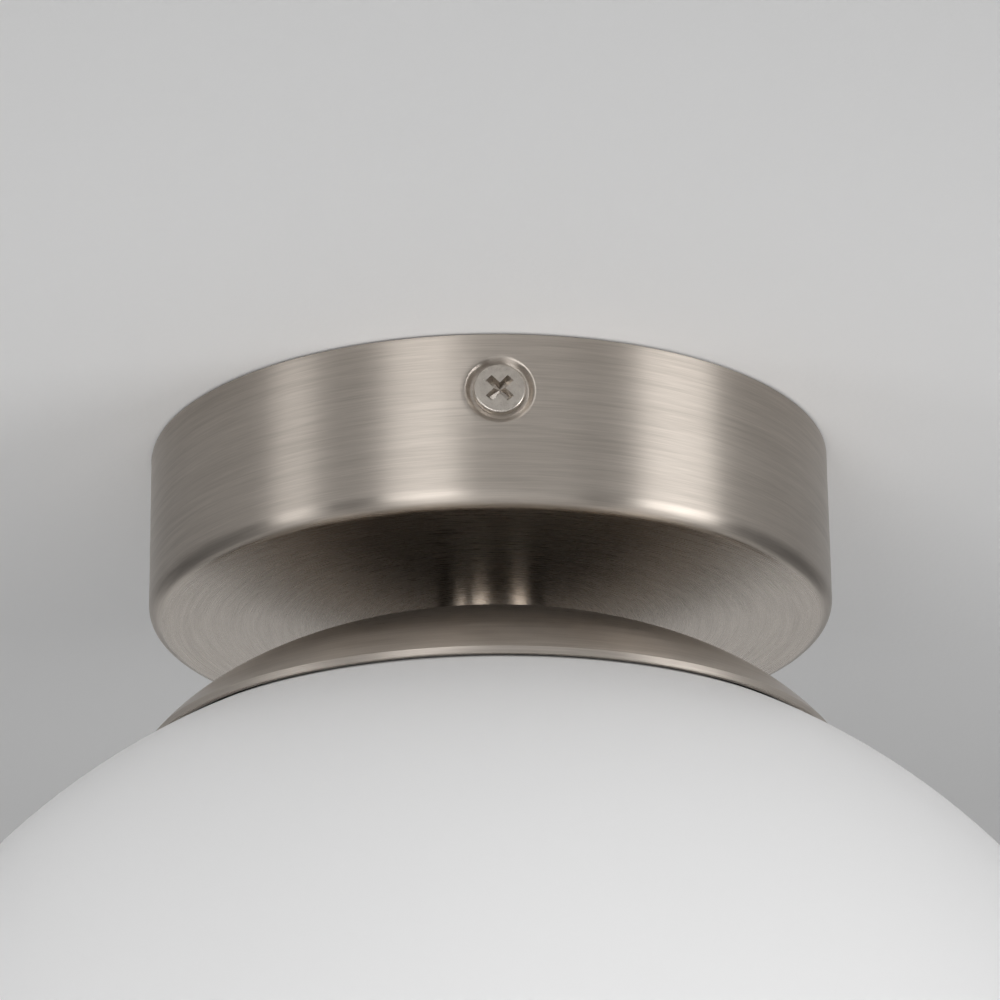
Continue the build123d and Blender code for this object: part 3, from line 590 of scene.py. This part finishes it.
@dataclass
class Canopy:
    """The drawn cup against the ceiling, with a pressed dimple round each side hole.

    Attributes:
        finish: Its metal.
        edge_radius: Radius of the bottom edge.
        wall: Sheet thickness.
        window: Half the side of the finer patch round a dimple.
        mouth: Radius at which a dimple starts to go in.
        floor: Radius of a dimple's flat floor.
        depth: Depth of that floor at the middle.
        hole: Radius of the screw's hole.
        fine_steps: Columns and rows across a patch.
        coarse_steps: Columns along the wall between the two patches, on each side.
        rim_steps: Rows between the rim and a patch.
        wall_steps: Rows between a patch and the bottom edge.
        edge_steps: Rows round the bottom edge.
        floor_steps: Rings across the floor.
        slope_steps: Rings down a dimple's slope.
        outer_rings: Rings from outside a dimple in to its mouth, as multiples of the mouth.
        floor_ring: The ring on a dimple's floor, as a share of its radius.
        centre_hole: Radius of the hole in the middle of the floor.
        crisp: Angle in degrees past which an edge counts as cut.
        rim_bevel: Width of the rounding on the sheet's cut edges.
        bevel_steps: Its steps.
        slack: How far past a patch's border a vertex still counts as on it.
        radius: Outer radius, read from the frame as the next three are.
        rim_z: Height of the rim.
        floor_z: Height of the floor.
        screw_z: Height of the screws.
    """

    finish: BrushedNickel
    edge_radius: float = 2.5 * MM
    wall: float = 1.0 * MM
    window: float = 7.0 * MM
    mouth: float = 5.1 * MM
    floor: float = 3.95 * MM
    depth: float = 0.8 * MM
    hole: float = 2.2 * MM
    fine_steps: int = 20
    coarse_steps: int = 150
    rim_steps: int = 2
    wall_steps: int = 8
    edge_steps: int = 16
    floor_steps: int = 14
    slope_steps: int = 10
    outer_rings: tuple = (1.16, 1.07, 1.0)
    floor_ring: float = 0.85
    centre_hole: float = 5.2 * MM
    crisp: float = 60.0
    rim_bevel: float = 0.2 * MM
    bevel_steps: int = 3
    slack: float = 0.01 * MM
    radius: float = field(init=False)
    rim_z: float = field(init=False)
    floor_z: float = field(init=False)
    screw_z: float = field(init=False)

    def __post_init__(self) -> None:
        """Read the canopy's reach and the screws' height from the frame."""
        low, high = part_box("canopy")
        screw_low, screw_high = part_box("canopy_screw_front")
        self.radius = high.x
        self.rim_z = high.z
        self.floor_z = low.z
        self.screw_z = (screw_low.z + screw_high.z) / 2

    def profile(self) -> list[Point]:
        """Points of the outer skin, from the rim down and in to the middle hole."""
        top = self.screw_z + self.window
        bottom = self.screw_z - self.window
        bend = self.floor_z + self.edge_radius
        inner = self.radius - self.edge_radius
        return [
            *line((self.radius, self.rim_z), (self.radius, top), self.rim_steps)[:-1],
            *line((self.radius, top), (self.radius, bottom), self.fine_steps)[:-1],
            *line((self.radius, bottom), (self.radius, bend), self.wall_steps)[:-1],
            *arc((inner, bend), (self.edge_radius, self.edge_radius), 0, -90, self.edge_steps)[:-1],
            *line((inner, self.floor_z), (self.centre_hole, self.floor_z), self.floor_steps),
        ]

    def build(self) -> bpy.types.Object:
        """Build and dress the canopy.

        Returns:
            The piece.
        """
        half = math.asin(self.window / self.radius)
        shape = bmesh.new()
        geom = lay_profile(shape, self.profile(), closed=False, start=-math.pi / 2 - half)
        for angle, steps in ((2 * half, self.fine_steps), (math.pi - 2 * half, self.coarse_steps)) * 2:
            made = bmesh.ops.spin(shape, geom=geom, axis=UP, angle=angle, steps=steps)
            geom = made["geom_last"]
        bmesh.ops.remove_doubles(shape, verts=shape.verts, dist=MERGE)
        for side in (-1, 1):
            self._press_dimple(shape, side)
        bmesh.ops.recalc_face_normals(shape, faces=shape.faces)
        widest = max(shape.faces, key=lambda face: face.calc_center_median().xy.length)
        if widest.normal.xy.dot(widest.calc_center_median().xy) < 0:
            bmesh.ops.reverse_faces(shape, faces=shape.faces)
        made = piece(
            "canopy_shell", shape, "fitting",
            self.finish.make("canopy_brushed_nickel"), ("canopy",), sharp=self.crisp,
        )
        sheet = made.modifiers.new("sheet", "SOLIDIFY")
        sheet.thickness = self.wall
        sheet.offset = -1.0
        sheet.use_even_offset = True
        edges = made.modifiers.new("edges", "BEVEL")
        edges.width = self.rim_bevel
        edges.segments = self.bevel_steps
        edges.limit_method = "ANGLE"
        edges.angle_limit = math.radians(self.crisp)
        return made

    def _press_dimple(self, shape: bmesh.types.BMesh, side: int) -> None:
        """Cut the patch out of the wall on one side and fill it with a dimple's rings.

        Args:
            shape: The bmesh in hand.
            side: -1 for the wall at -Y, 1 for the wall at +Y.
        """
        edge_reach = self.window + self.slack
        inside = [
            face
            for face in shape.faces
            if abs(face.calc_center_median().x) < self.window
            and abs(face.calc_center_median().z - self.screw_z) < self.window
            and face.calc_center_median().y * side > self.radius / 2
        ]
        bmesh.ops.delete(shape, geom=inside, context="FACES")
        rim = [
            edge
            for edge in shape.edges
            if edge.is_boundary
            and all(abs(vert.co.x) < edge_reach for vert in edge.verts)
            and all(abs(vert.co.z - self.screw_z) < edge_reach for vert in edge.verts)
            and all(vert.co.y * side > self.radius / 2 for vert in edge.verts)
        ]
        span = self.mouth - self.floor
        rings = [self.mouth * share for share in self.outer_rings]
        rings += [self.mouth - span * n / self.slope_steps for n in range(1, self.slope_steps + 1)]
        rings += [self.floor * self.floor_ring, self.hole]
        for ring in rings:
            verts, rim = extrude(shape, rim)
            for vert in verts:
                self._set_on_dimple(vert, ring, side)

    def _set_on_dimple(self, vert: bmesh.types.BMVert, ring: float, side: int) -> None:
        """Move a vertex to a ring round the screw, on the pressed surface."""
        across = Vector((vert.co.x, vert.co.z - self.screw_z)).normalized() * ring
        share = min(1.0, max(0.0, (ring - self.floor) / (self.mouth - self.floor)))
        share = share * share * (3 - 2 * share)
        round_y = math.sqrt(self.radius**2 - across.x**2)
        flat_y = self.radius - self.depth
        y = flat_y + (round_y - flat_y) * share
        vert.co = Vector((across.x, side * y, self.screw_z + across.y))


# ---- canopy screws ----


@dataclass
class CanopyScrew:
    """One disc-head screw with a cross recess, on the Y axis.

    Attributes:
        side: -1 for the near wall, 1 for the far wall.
        node: The CAD node that it stands for.
        body: The body that it moves with.
        finish: Its metal.
        recess_span: End to end length of the cross.
        recess_width: Width of its arms.
        recess_depth: Depth of the recess.
        recess_taper: Size of the recess's foot as a share of its mouth.
        recess_point: How far its floor rises in the middle, as a share of its depth.
        crown: Radius of the head's edge.
        head_height: Height of the head.
        head_edge: Chamfer under the head.
        neck: Height and reach of the step under the head.
        shank_radius: Radius over the thread's crests.
        thread_depth: Depth of the thread.
        pitch: Thread pitch.
        tip_length: Least length of the plain tip.
        tip_share: Radius of its end as a share of the shank's.
        turn: Turn of the cross in degrees.
        head_steps: Corners round the head.
        crown_steps: Rings round the head's edge.
    """

    side: int
    node: str
    body: str
    finish: PlainMetal
    recess_span: float = 4.3 * MM
    recess_width: float = 1.15 * MM
    recess_depth: float = 1.3 * MM
    recess_taper: float = 0.72
    recess_point: float = 0.3
    crown: float = 0.32 * MM
    head_height: float = 1.15 * MM
    head_edge: float = 0.1 * MM
    neck: float = 0.2 * MM
    shank_radius: float = 2.0 * MM
    thread_depth: float = 0.35 * MM
    pitch: float = 0.7 * MM
    tip_length: float = 1.2 * MM
    tip_share: float = 0.6
    turn: float = 45.0
    head_steps: int = 72
    crown_steps: int = 6

    def build(self) -> bpy.types.Object:
        """Build and dress the screw.

        Returns:
            The piece.
        """
        low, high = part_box(self.node)
        radius = (high.x - low.x) / 2
        length = high.y - low.y
        middle_z = (low.z + high.z) / 2
        face_y = low.y if self.side < 0 else high.y
        shape = self._head_and_shank(radius, length)
        turn_out = Matrix.Rotation(math.radians(90 * -self.side), 4, "X")
        place = Matrix.Translation((0, face_y, middle_z)) @ turn_out
        bmesh.ops.transform(shape, matrix=place, verts=shape.verts)
        return piece(
            f"{self.node}_body", shape, self.body,
            self.finish.make(f"{self.node}_plating"), (self.node,), sharp=40.0,
        )

    def _cross(self, shape: bmesh.types.BMesh) -> list:
        """Lay the cross's outline at the head's face and return its edges."""
        long, short = self.recess_span / 2, self.recess_width / 2
        quarter = [(long, -short), (long, short), (short, short)]
        verts = []
        for corner in range(4):
            spin = Matrix.Rotation(math.radians(self.turn + 90 * corner), 3, "Z")
            verts += [shape.verts.new(spin @ Vector((x, y, 0))) for x, y in quarter]
        return [shape.edges.new((a, b)) for a, b in zip(verts, verts[1:] + verts[:1])]

    def _head_and_shank(self, radius: float, length: float) -> bmesh.types.BMesh:
        """Make the screw along -Z, with the head's face at z = 0.

        Args:
            radius: Head radius.
            length: Whole length.

        Returns:
            A new bmesh.
        """
        shape = bmesh.new()
        face = radius - self.crown
        rim = bmesh.ops.create_circle(shape, segments=self.head_steps, radius=face)["verts"]
        outer = list({edge for vert in rim for edge in vert.link_edges})
        cross = self._cross(shape)
        bmesh.ops.triangle_fill(shape, edges=outer + cross, use_beauty=True)
        # the recess: walls that lean in, then a floor raised to a point in the middle
        foot, edges = extrude(shape, cross)
        bmesh.ops.scale(shape, vec=(self.recess_taper, self.recess_taper, 1.0), verts=foot)
        bmesh.ops.translate(shape, vec=(0, 0, -self.recess_depth), verts=foot)
        floor = bmesh.ops.contextual_create(shape, geom=edges)["faces"]
        middle = bmesh.ops.poke(shape, faces=floor)["verts"]
        bmesh.ops.translate(shape, vec=(0, 0, self.recess_point * self.recess_depth), verts=middle)
        # the head's round edge, its side and the threaded shank
        head = self.head_height
        root = self.shank_radius - self.thread_depth
        path = arc((face, -self.crown), (self.crown, self.crown), 90, 0, self.crown_steps)[1:]
        path += [(radius, -head + self.head_edge), (radius - self.head_edge, -head)]
        path += [(self.shank_radius + self.neck, -head), (root, -head - self.neck)]
        turns = int((length - head - self.tip_length) / self.pitch)
        for turn in range(turns):
            crest = -head - self.neck - self.pitch * (turn + 0.5)
            path.append((self.shank_radius, crest))
            path.append((root, crest - self.pitch / 2))
        path.append((self.tip_share * self.shank_radius, -length))
        ring = outer
        for reach, z in path:
            verts, ring = extrude(shape, ring)
            for vert in verts:
                flat = vert.co.xy.normalized() * reach
                vert.co = Vector((flat.x, flat.y, z))
        bmesh.ops.contextual_create(shape, geom=ring)
        bmesh.ops.remove_doubles(shape, verts=shape.verts, dist=FINE_MERGE)
        bmesh.ops.recalc_face_normals(shape, faces=shape.faces)
        return shape


# ---- dome and glass ----


@dataclass
class ShadeHolder:
    """The spun dome under the canopy: a flat land, an elliptical slope and a cut rim.

    Attributes:
        finish: Its metal.
        wall: Sheet thickness.
        lip: Height of the upright rim.
        land: Radius of the flat land in the middle.
        curve_reach: How far the ellipse would reach past the rim.
        bore: Radius of the middle hole.
        edge: Chamfer on the rim's cut edge.
        outer_steps: Rings along the outer slope.
        inner_steps: Rings along the inner slope.
        turn_steps: Segments round the axis.
    """

    finish: BrushedNickel
    wall: float = 0.8 * MM
    lip: float = 1.0 * MM
    land: float = 9.0 * MM
    curve_reach: float = 5.0 * MM
    bore: float = 5.2 * MM
    edge: float = 0.12 * MM
    outer_steps: int = 40
    inner_steps: int = 30
    turn_steps: int = 240

    def build(self) -> bpy.types.Object:
        """Build and dress the dome.

        Returns:
            The piece.
        """
        low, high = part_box("shade_holder")
        rim, top, bottom = high.x, high.z, low.z
        curve = rim + self.curve_reach
        rim_share = math.sqrt(1 - (rim / curve) ** 2)
        land_share = math.sqrt(1 - (self.land / curve) ** 2)
        height = (top - bottom - self.lip) / (land_share - rim_share)
        centre = (0.0, bottom + self.lip - height * rim_share)
        start = math.degrees(math.acos(self.land / curve))
        stop = math.degrees(math.acos(rim / curve))
        inner_rim = rim - self.wall
        inner_curve = (curve - self.wall, height - self.wall)
        inner_stop = math.degrees(math.acos(inner_rim / inner_curve[0]))
        inner_start = math.degrees(math.acos(self.land / inner_curve[0]))
        points = [
            (self.bore, top),
            *arc(centre, (curve, height), start, stop, self.outer_steps),
            (rim, bottom + self.edge),
            (rim - self.edge, bottom),
            (inner_rim + self.edge, bottom),
            (inner_rim, bottom + self.edge),
            *arc(centre, inner_curve, inner_stop, inner_start, self.inner_steps),
            (self.bore, top - self.wall),
        ]
        return piece(
            "dome", turned(points, self.turn_steps), "fitting",
            self.finish.make("dome_brushed_nickel"), ("shade_holder",), sharp=28.0,
        )


@dataclass
class Globe:
    """The opal glass globe, open at the top.

    Attributes:
        finish: Its glass.
        wall: Glass thickness.
        mouth: Radius of the opening.
        edge: Radius of the melted edge.
        outer_steps: Rings along the outer face.
        inner_steps: Rings along the inner face.
        lip_steps: Rings round the melted edge.
        turn_steps: Segments round the axis.
    """

    finish: OpalGlass
    wall: float = 2.5 * MM
    mouth: float = 42.0 * MM
    edge: float = 0.9 * MM
    outer_steps: int = 96
    inner_steps: int = 72
    lip_steps: int = 8
    turn_steps: int = 192

    def build(self) -> bpy.types.Object:
        """Build and dress the globe.

        Returns:
            The piece.
        """
        low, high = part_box("globe")
        radius = high.x
        centre = (0.0, low.z + radius)
        inner = radius - self.wall
        outer_stop = math.degrees(math.acos((self.mouth + self.edge) / radius))
        inner_stop = math.degrees(math.acos((self.mouth + self.edge) / inner))
        outer = arc(centre, (radius, radius), -90, outer_stop, self.outer_steps)
        back = arc(centre, (inner, inner), inner_stop, -90, self.inner_steps)
        lip_middle = ((outer[-1][0] + back[0][0]) / 2, (outer[-1][1] + back[0][1]) / 2)
        half = (outer[-1][1] - back[0][1]) / 2
        lip = arc(lip_middle, (-self.edge, half), 90, -90, self.lip_steps)[1:-1]
        points = outer + lip + back
        points[0] = (0.0, low.z)
        points[-1] = (0.0, low.z + self.wall)
        return piece(
            "glass_globe", turned(points, self.turn_steps, closed=False), "globe",
            self.finish.make("opal_glass"), ("globe",), sharp=60.0,
        )


# ---- inner pieces ----


class Look(Enum):
    """The inner pieces' finishes, most as two colours, a roughness and a grain size."""

    ZINC = PlainMetal((0.68, 0.69, 0.70), (0.52, 0.54, 0.57), 0.30, 3.0 * MM)
    SPRING = PlainMetal((0.48, 0.49, 0.52), (0.36, 0.37, 0.40), 0.26, 4.0 * MM)
    TIN = PlainMetal((0.74, 0.73, 0.70), (0.60, 0.59, 0.56), 0.34, 1.5 * MM)
    ALUMINIUM = PlainMetal((0.80, 0.80, 0.80), (0.68, 0.68, 0.69), 0.32, 1.5 * MM)
    SHELL = PlainMetal((0.76, 0.75, 0.72), (0.62, 0.61, 0.58), 0.24, 2.5 * MM)
    BRASS = PlainMetal((0.83, 0.62, 0.28), (0.66, 0.47, 0.20), 0.27, 2.0 * MM)
    COLLAR = PlainMetal((0.62, 0.58, 0.53), (0.50, 0.46, 0.42), 0.30, 2.0 * MM)
    SILICONE = Moulded((0.82, 0.82, 0.80), (0.74, 0.74, 0.72), 0.55, 0.5 * MM)
    NYLON = Moulded((0.80, 0.80, 0.78), (0.74, 0.74, 0.71), 0.38, 0.3 * MM)
    WHITE = Moulded((0.82, 0.82, 0.80), (0.77, 0.77, 0.75), 0.33, 0.4 * MM)
    CERAMIC = Moulded((0.78, 0.76, 0.70), (0.72, 0.70, 0.64), 0.22, 0.8 * MM)
    BLACK = Moulded((0.02, 0.02, 0.022), (0.03, 0.03, 0.032), 0.25, 0.4 * MM)
    BROWN = Moulded((0.13, 0.055, 0.025), (0.10, 0.04, 0.02), 0.36, 0.5 * MM)
    BLUE = Moulded((0.02, 0.10, 0.42), (0.015, 0.08, 0.34), 0.36, 0.5 * MM)
    EARTH = StripedInsulation()
    DIFFUSER = Moulded((0.88, 0.88, 0.87), (0.85, 0.85, 0.84), 0.48, 0.6 * MM)


INNER_LOOKS = {
    "ceiling_bracket": Look.ZINC,
    "earth_screw": Look.BRASS,
    "terminal_block_body": Look.NYLON,
    "terminal_barrels": Look.BRASS,
    "terminal_clamp_screws": Look.ZINC,
    "terminal_fixing_screw": Look.ZINC,
    "nipple": Look.ZINC,
    "lock_washer": Look.ZINC,
    "earth_tag": Look.TIN,
    "nipple_nut": Look.ZINC,
    "carrier_nut": Look.ZINC,
    "spacer_collar": Look.COLLAR,
    "shade_gasket": Look.SILICONE,
    "spring_carrier": Look.ZINC,
    "glass_springs": Look.SPRING,
    "spring_rivets": Look.ALUMINIUM,
    "lampholder_cap": Look.WHITE,
    "lampholder_skirt": Look.WHITE,
    "lampholder_insert": Look.CERAMIC,
    "lampholder_grub_screw": Look.ZINC,
    "lampholder_centre_contact": Look.BRASS,
    "lampholder_terminal_screws": Look.BRASS,
    "lampholder_thread_sleeve": Look.SHELL,
    "lead_live": Look.BROWN,
    "lead_neutral": Look.BLUE,
    "lead_earth": Look.EARTH,
    "bulb_base": Look.SHELL,
    "bulb_insulator": Look.BLACK,
    "bulb_contact": Look.BRASS,
    "bulb_housing": Look.WHITE,
    "bulb_dome": Look.DIFFUSER,
}


class InnerPieces:
    """Pieces inside the lamp: merged, smoothly shaded copies of their CAD nodes."""

    def __init__(self) -> None:
        """Read each node's body and slot from the frame's record."""
        record = frame["record"]
        self.slots = {row["node"]: row["material_slot"] for row in record["subparts"]}
        groups = record["behaviour"]["bodies"]
        self.bodies = {node: body for body, nodes in groups.items() for node in nodes}
        self.materials: dict[Look, bpy.types.Material] = {}

    def build(self) -> None:
        """Build and dress every inner piece."""
        for node, look in INNER_LOOKS.items():
            if look not in self.materials:
                self.materials[look] = look.value.make(f"{look.name.lower()}_finish")
            shape = bmesh.new()
            shape.from_mesh(frame["nodes"][node].data)
            bmesh.ops.remove_doubles(shape, verts=shape.verts, dist=MERGE)
            piece(
                f"{node}_dressed", shape, self.bodies[node],
                self.materials[look], (node,), sharp=30.0,
            )


# ---- studio ----


@dataclass(frozen=True)
class Softbox:
    """One lit panel that faces the ceiling light.

    Attributes:
        name: Its name.
        azimuth: Degrees from -Y towards +X.
        elevation: Degrees above the horizon.
        width: Width in metres.
        height: Height in metres.
        radiance: How bright its face is, where 1 is white.
        distance: Metres from the point that it faces.
        aim_z: Height of that point, which is on the Z axis.
    """

    name: str
    azimuth: float
    elevation: float
    width: float
    height: float
    radiance: float
    distance: float = 1.5
    aim_z: float = -0.05

    def build(self) -> bpy.types.Object:
        """Hang the softbox.

        Returns:
            Its area lamp.
        """
        turn, lift = math.radians(self.azimuth), math.radians(self.elevation)
        level = math.cos(lift)
        way = Vector((math.sin(turn) * level, -math.cos(turn) * level, math.sin(lift)))
        lamp = bpy.data.lights.new(self.name, "AREA")
        lamp.shape = "RECTANGLE"
        lamp.size = self.width
        lamp.size_y = self.height
        lamp.energy = self.radiance * math.pi * self.width * self.height
        made = link(self.name, lamp)
        made.location = way * self.distance + UP * self.aim_z
        made.rotation_euler = way.to_track_quat("Z", "Y").to_euler()
        made.visible_camera = False
        return made


@dataclass
class Studio:
    """Ceiling, lamps, surroundings and camera.

    Attributes:
        ceiling_colour: The paint's colour.
        ceiling_lit_near: Its colour where it meets the canopy, painted lighter there as painted light.
        canopy_reach: Distance from the axis up to which it has that painted light in full, in metres.
        pale_reach: Distance from the axis past which the painted light has faded to its own colour.
        ceiling_reach: Half the side of the ceiling.
        ceiling_cells: Squares along each side of it.
        paint_roughness: Roughness of the paint.
        paint_scale: Noise scale of the paint's grain.
        paint_depth: Depth of that grain.
        horizon_light: How bright the studio is all round, from dark_above upwards.
        floor_light: How bright it is below.
        dark_above: Elevation in degrees above which only the horizon's light shines.
        bright_below: Elevation in degrees below which the floor's light shines in full.
        softboxes: The lit panels, whose reflections are the bands on the wall.
        camera_distance: Distance of the camera from the axis, in metres.
        camera_height: Its height over the canopy's rim, negative for below.
        camera_turn: Degrees that it stands away from -Y, towards -X.
        camera_pitch: Radians that it looks up.
        camera_yaw: Radians that it looks to the right of the axis.
        camera_roll: Radians that it is tilted, right side up.
        focal_pixels: Focal length in pixels of the picture.
        picture_pixels: Side of the picture in pixels.
        sensor: Width of the sensor in millimetres.
    """

    ceiling_colour: tuple = (0.79, 0.79, 0.79)
    # Painted light: the ceiling is painted lighter round the canopy, as a pool of light round the
    # lamp.
    ceiling_lit_near: tuple = (0.93, 0.93, 0.93)
    canopy_reach: float = 0.05
    pale_reach: float = 0.19
    ceiling_reach: float = 4.0
    ceiling_cells: int = 8
    paint_roughness: float = 0.85
    paint_scale: float = 900.0
    paint_depth: float = 0.03 * MM
    horizon_light: float = 0.08
    floor_light: float = 0.45
    dark_above: float = -22.0
    bright_below: float = -44.0
    softboxes: tuple[Softbox, ...] = (
        Softbox("softbox_left", azimuth=-23.0, elevation=-13.0, width=0.62, height=0.66, radiance=4.4),
        Softbox("strip_left", azimuth=-67.0, elevation=-13.0, width=0.40, height=0.66, radiance=3.6),
        Softbox("softbox_right", azimuth=61.5, elevation=-13.0, width=0.74, height=0.66, radiance=6.0),
        Softbox("softbox_low", azimuth=0.0, elevation=-34.0, width=1.4, height=0.7, radiance=1.25),
        Softbox("softbox_back", azimuth=180.0, elevation=-19.0, width=2.0, height=0.8, radiance=0.50),
    )
    camera_distance: float = 628.021 * MM
    camera_height: float = -249.366 * MM
    camera_turn: float = 1.8125
    camera_pitch: float = 0.370871
    camera_yaw: float = 0.002489
    camera_roll: float = -0.012031
    focal_pixels: float = 4549.92
    picture_pixels: float = 1000.0
    sensor: float = 36.0

    def build(self) -> None:
        """Set up the whole studio, and keep colours as they are written."""
        bpy.context.scene.view_settings.view_transform = "Standard"
        self._ceiling()
        self._world()
        for softbox in self.softboxes:
            softbox.build()
        self._camera()

    def _ceiling(self) -> None:
        """Lay the painted ceiling at z = 0, lighter round the canopy by painted light, seen from below
        and looked through from above.
        """
        shape = bmesh.new()
        cells = self.ceiling_cells
        bmesh.ops.create_grid(shape, x_segments=cells, y_segments=cells, size=self.ceiling_reach)
        bmesh.ops.reverse_faces(shape, faces=shape.faces)
        mesh = bpy.data.meshes.new("ceiling")
        shape.to_mesh(mesh)
        shape.free()
        ceiling = link("ceiling", mesh)
        shader = Shader("ceiling_paint")
        place = shader.place()
        grain = shader.noise(place, self.paint_scale, detail=3.0)
        reach = shader.add("ShaderNodeVectorMath", {0: place}, operation="LENGTH").outputs["Value"]
        # Painted light: the paint turns lighter from pale_reach in to canopy_reach, as a pool of light
        # round the lamp.
        near = shader.remap(reach, self.pale_reach, self.canopy_reach, 0.0, 1.0)
        paint = shader.tint(near, self.ceiling_colour, self.ceiling_lit_near)
        shader.set(Base_Color=paint, Roughness=self.paint_roughness)
        shader.relief(grain, self.paint_depth)
        clear = shader.add("ShaderNodeBsdfTransparent")
        above = shader.add("ShaderNodeNewGeometry").outputs["Backfacing"]
        path = shader.add("ShaderNodeLightPath").outputs
        mirrored = shader.math("MAXIMUM", path["Is Glossy Ray"], path["Is Transmission Ray"])
        seen = shader.math("MAXIMUM", path["Is Camera Ray"], mirrored)
        inputs = {
            0: shader.math("MULTIPLY", above, seen),
            1: shader.surface.outputs[0],
            2: clear.outputs[0],
        }
        mix = shader.add("ShaderNodeMixShader", inputs)
        shader.feed(shader.output.inputs["Surface"], mix.outputs[0])
        mesh.materials.append(shader.material)

    def _world(self) -> None:
        """Surround the lamp with a studio that is dim all round and bright below."""
        world = bpy.data.worlds.new("surround")
        bpy.context.scene.world = world
        world.use_nodes = True
        nodes = Nodes(world.node_tree)
        way = nodes.add("ShaderNodeTexCoord").outputs["Generated"]
        rise = nodes.add("ShaderNodeSeparateXYZ", {0: way}).outputs["Z"]
        low = math.sin(math.radians(self.bright_below))
        high = math.sin(math.radians(self.dark_above))
        light = nodes.remap(rise, low, high, self.floor_light, self.horizon_light, "SMOOTHSTEP")
        lit = nodes.add("ShaderNodeBackground", {"Strength": light})
        nodes.add("ShaderNodeOutputWorld", {"Surface": lit.outputs[0]})

    def _camera(self) -> None:
        """Stand the camera where the photograph was taken from."""
        turn = math.radians(self.camera_turn)
        yaw = self.camera_yaw + turn
        forward = Vector((
            math.sin(yaw) * math.cos(self.camera_pitch),
            math.cos(yaw) * math.cos(self.camera_pitch),
            math.sin(self.camera_pitch),
        ))
        level = forward.cross(UP).normalized()
        upright = level.cross(forward)
        cosine, sine = math.cos(self.camera_roll), math.sin(self.camera_roll)
        right = level * cosine + upright * sine
        top = upright * cosine - level * sine
        lens = bpy.data.cameras.new("camera")
        lens.sensor_width = self.sensor
        lens.lens = self.focal_pixels / self.picture_pixels * self.sensor
        camera = link("camera", lens)
        rim_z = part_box("canopy")[1].z
        place = Vector((
            -self.camera_distance * math.sin(turn),
            -self.camera_distance * math.cos(turn),
            self.camera_height + rim_z,
        ))
        axes = Matrix((right, top, -forward)).transposed().to_4x4()
        camera.matrix_world = Matrix.Translation(place) @ axes
        bpy.context.scene.camera = camera


# ---- whole lamp ----


def main() -> None:
    """Build the studio and the lamp."""
    logging.basicConfig(level=logging.INFO, format="%(name)s: %(message)s")
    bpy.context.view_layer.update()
    Studio().build()
    plating = PlainMetal(
        light=(0.55, 0.51, 0.46), dark=(0.47, 0.43, 0.39), roughness=0.32, grain=1.2 * MM
    )
    Canopy(BrushedNickel()).build()
    CanopyScrew(-1, "canopy_screw_front", "screw_front", plating).build()
    CanopyScrew(1, "canopy_screw_rear", "screw_rear", plating).build()
    ShadeHolder(BrushedNickel(anisotropy=0.8, roughness=0.34)).build()
    Globe(OpalGlass()).build()
    InnerPieces().build()


if __name__ == "__main__":
    main()
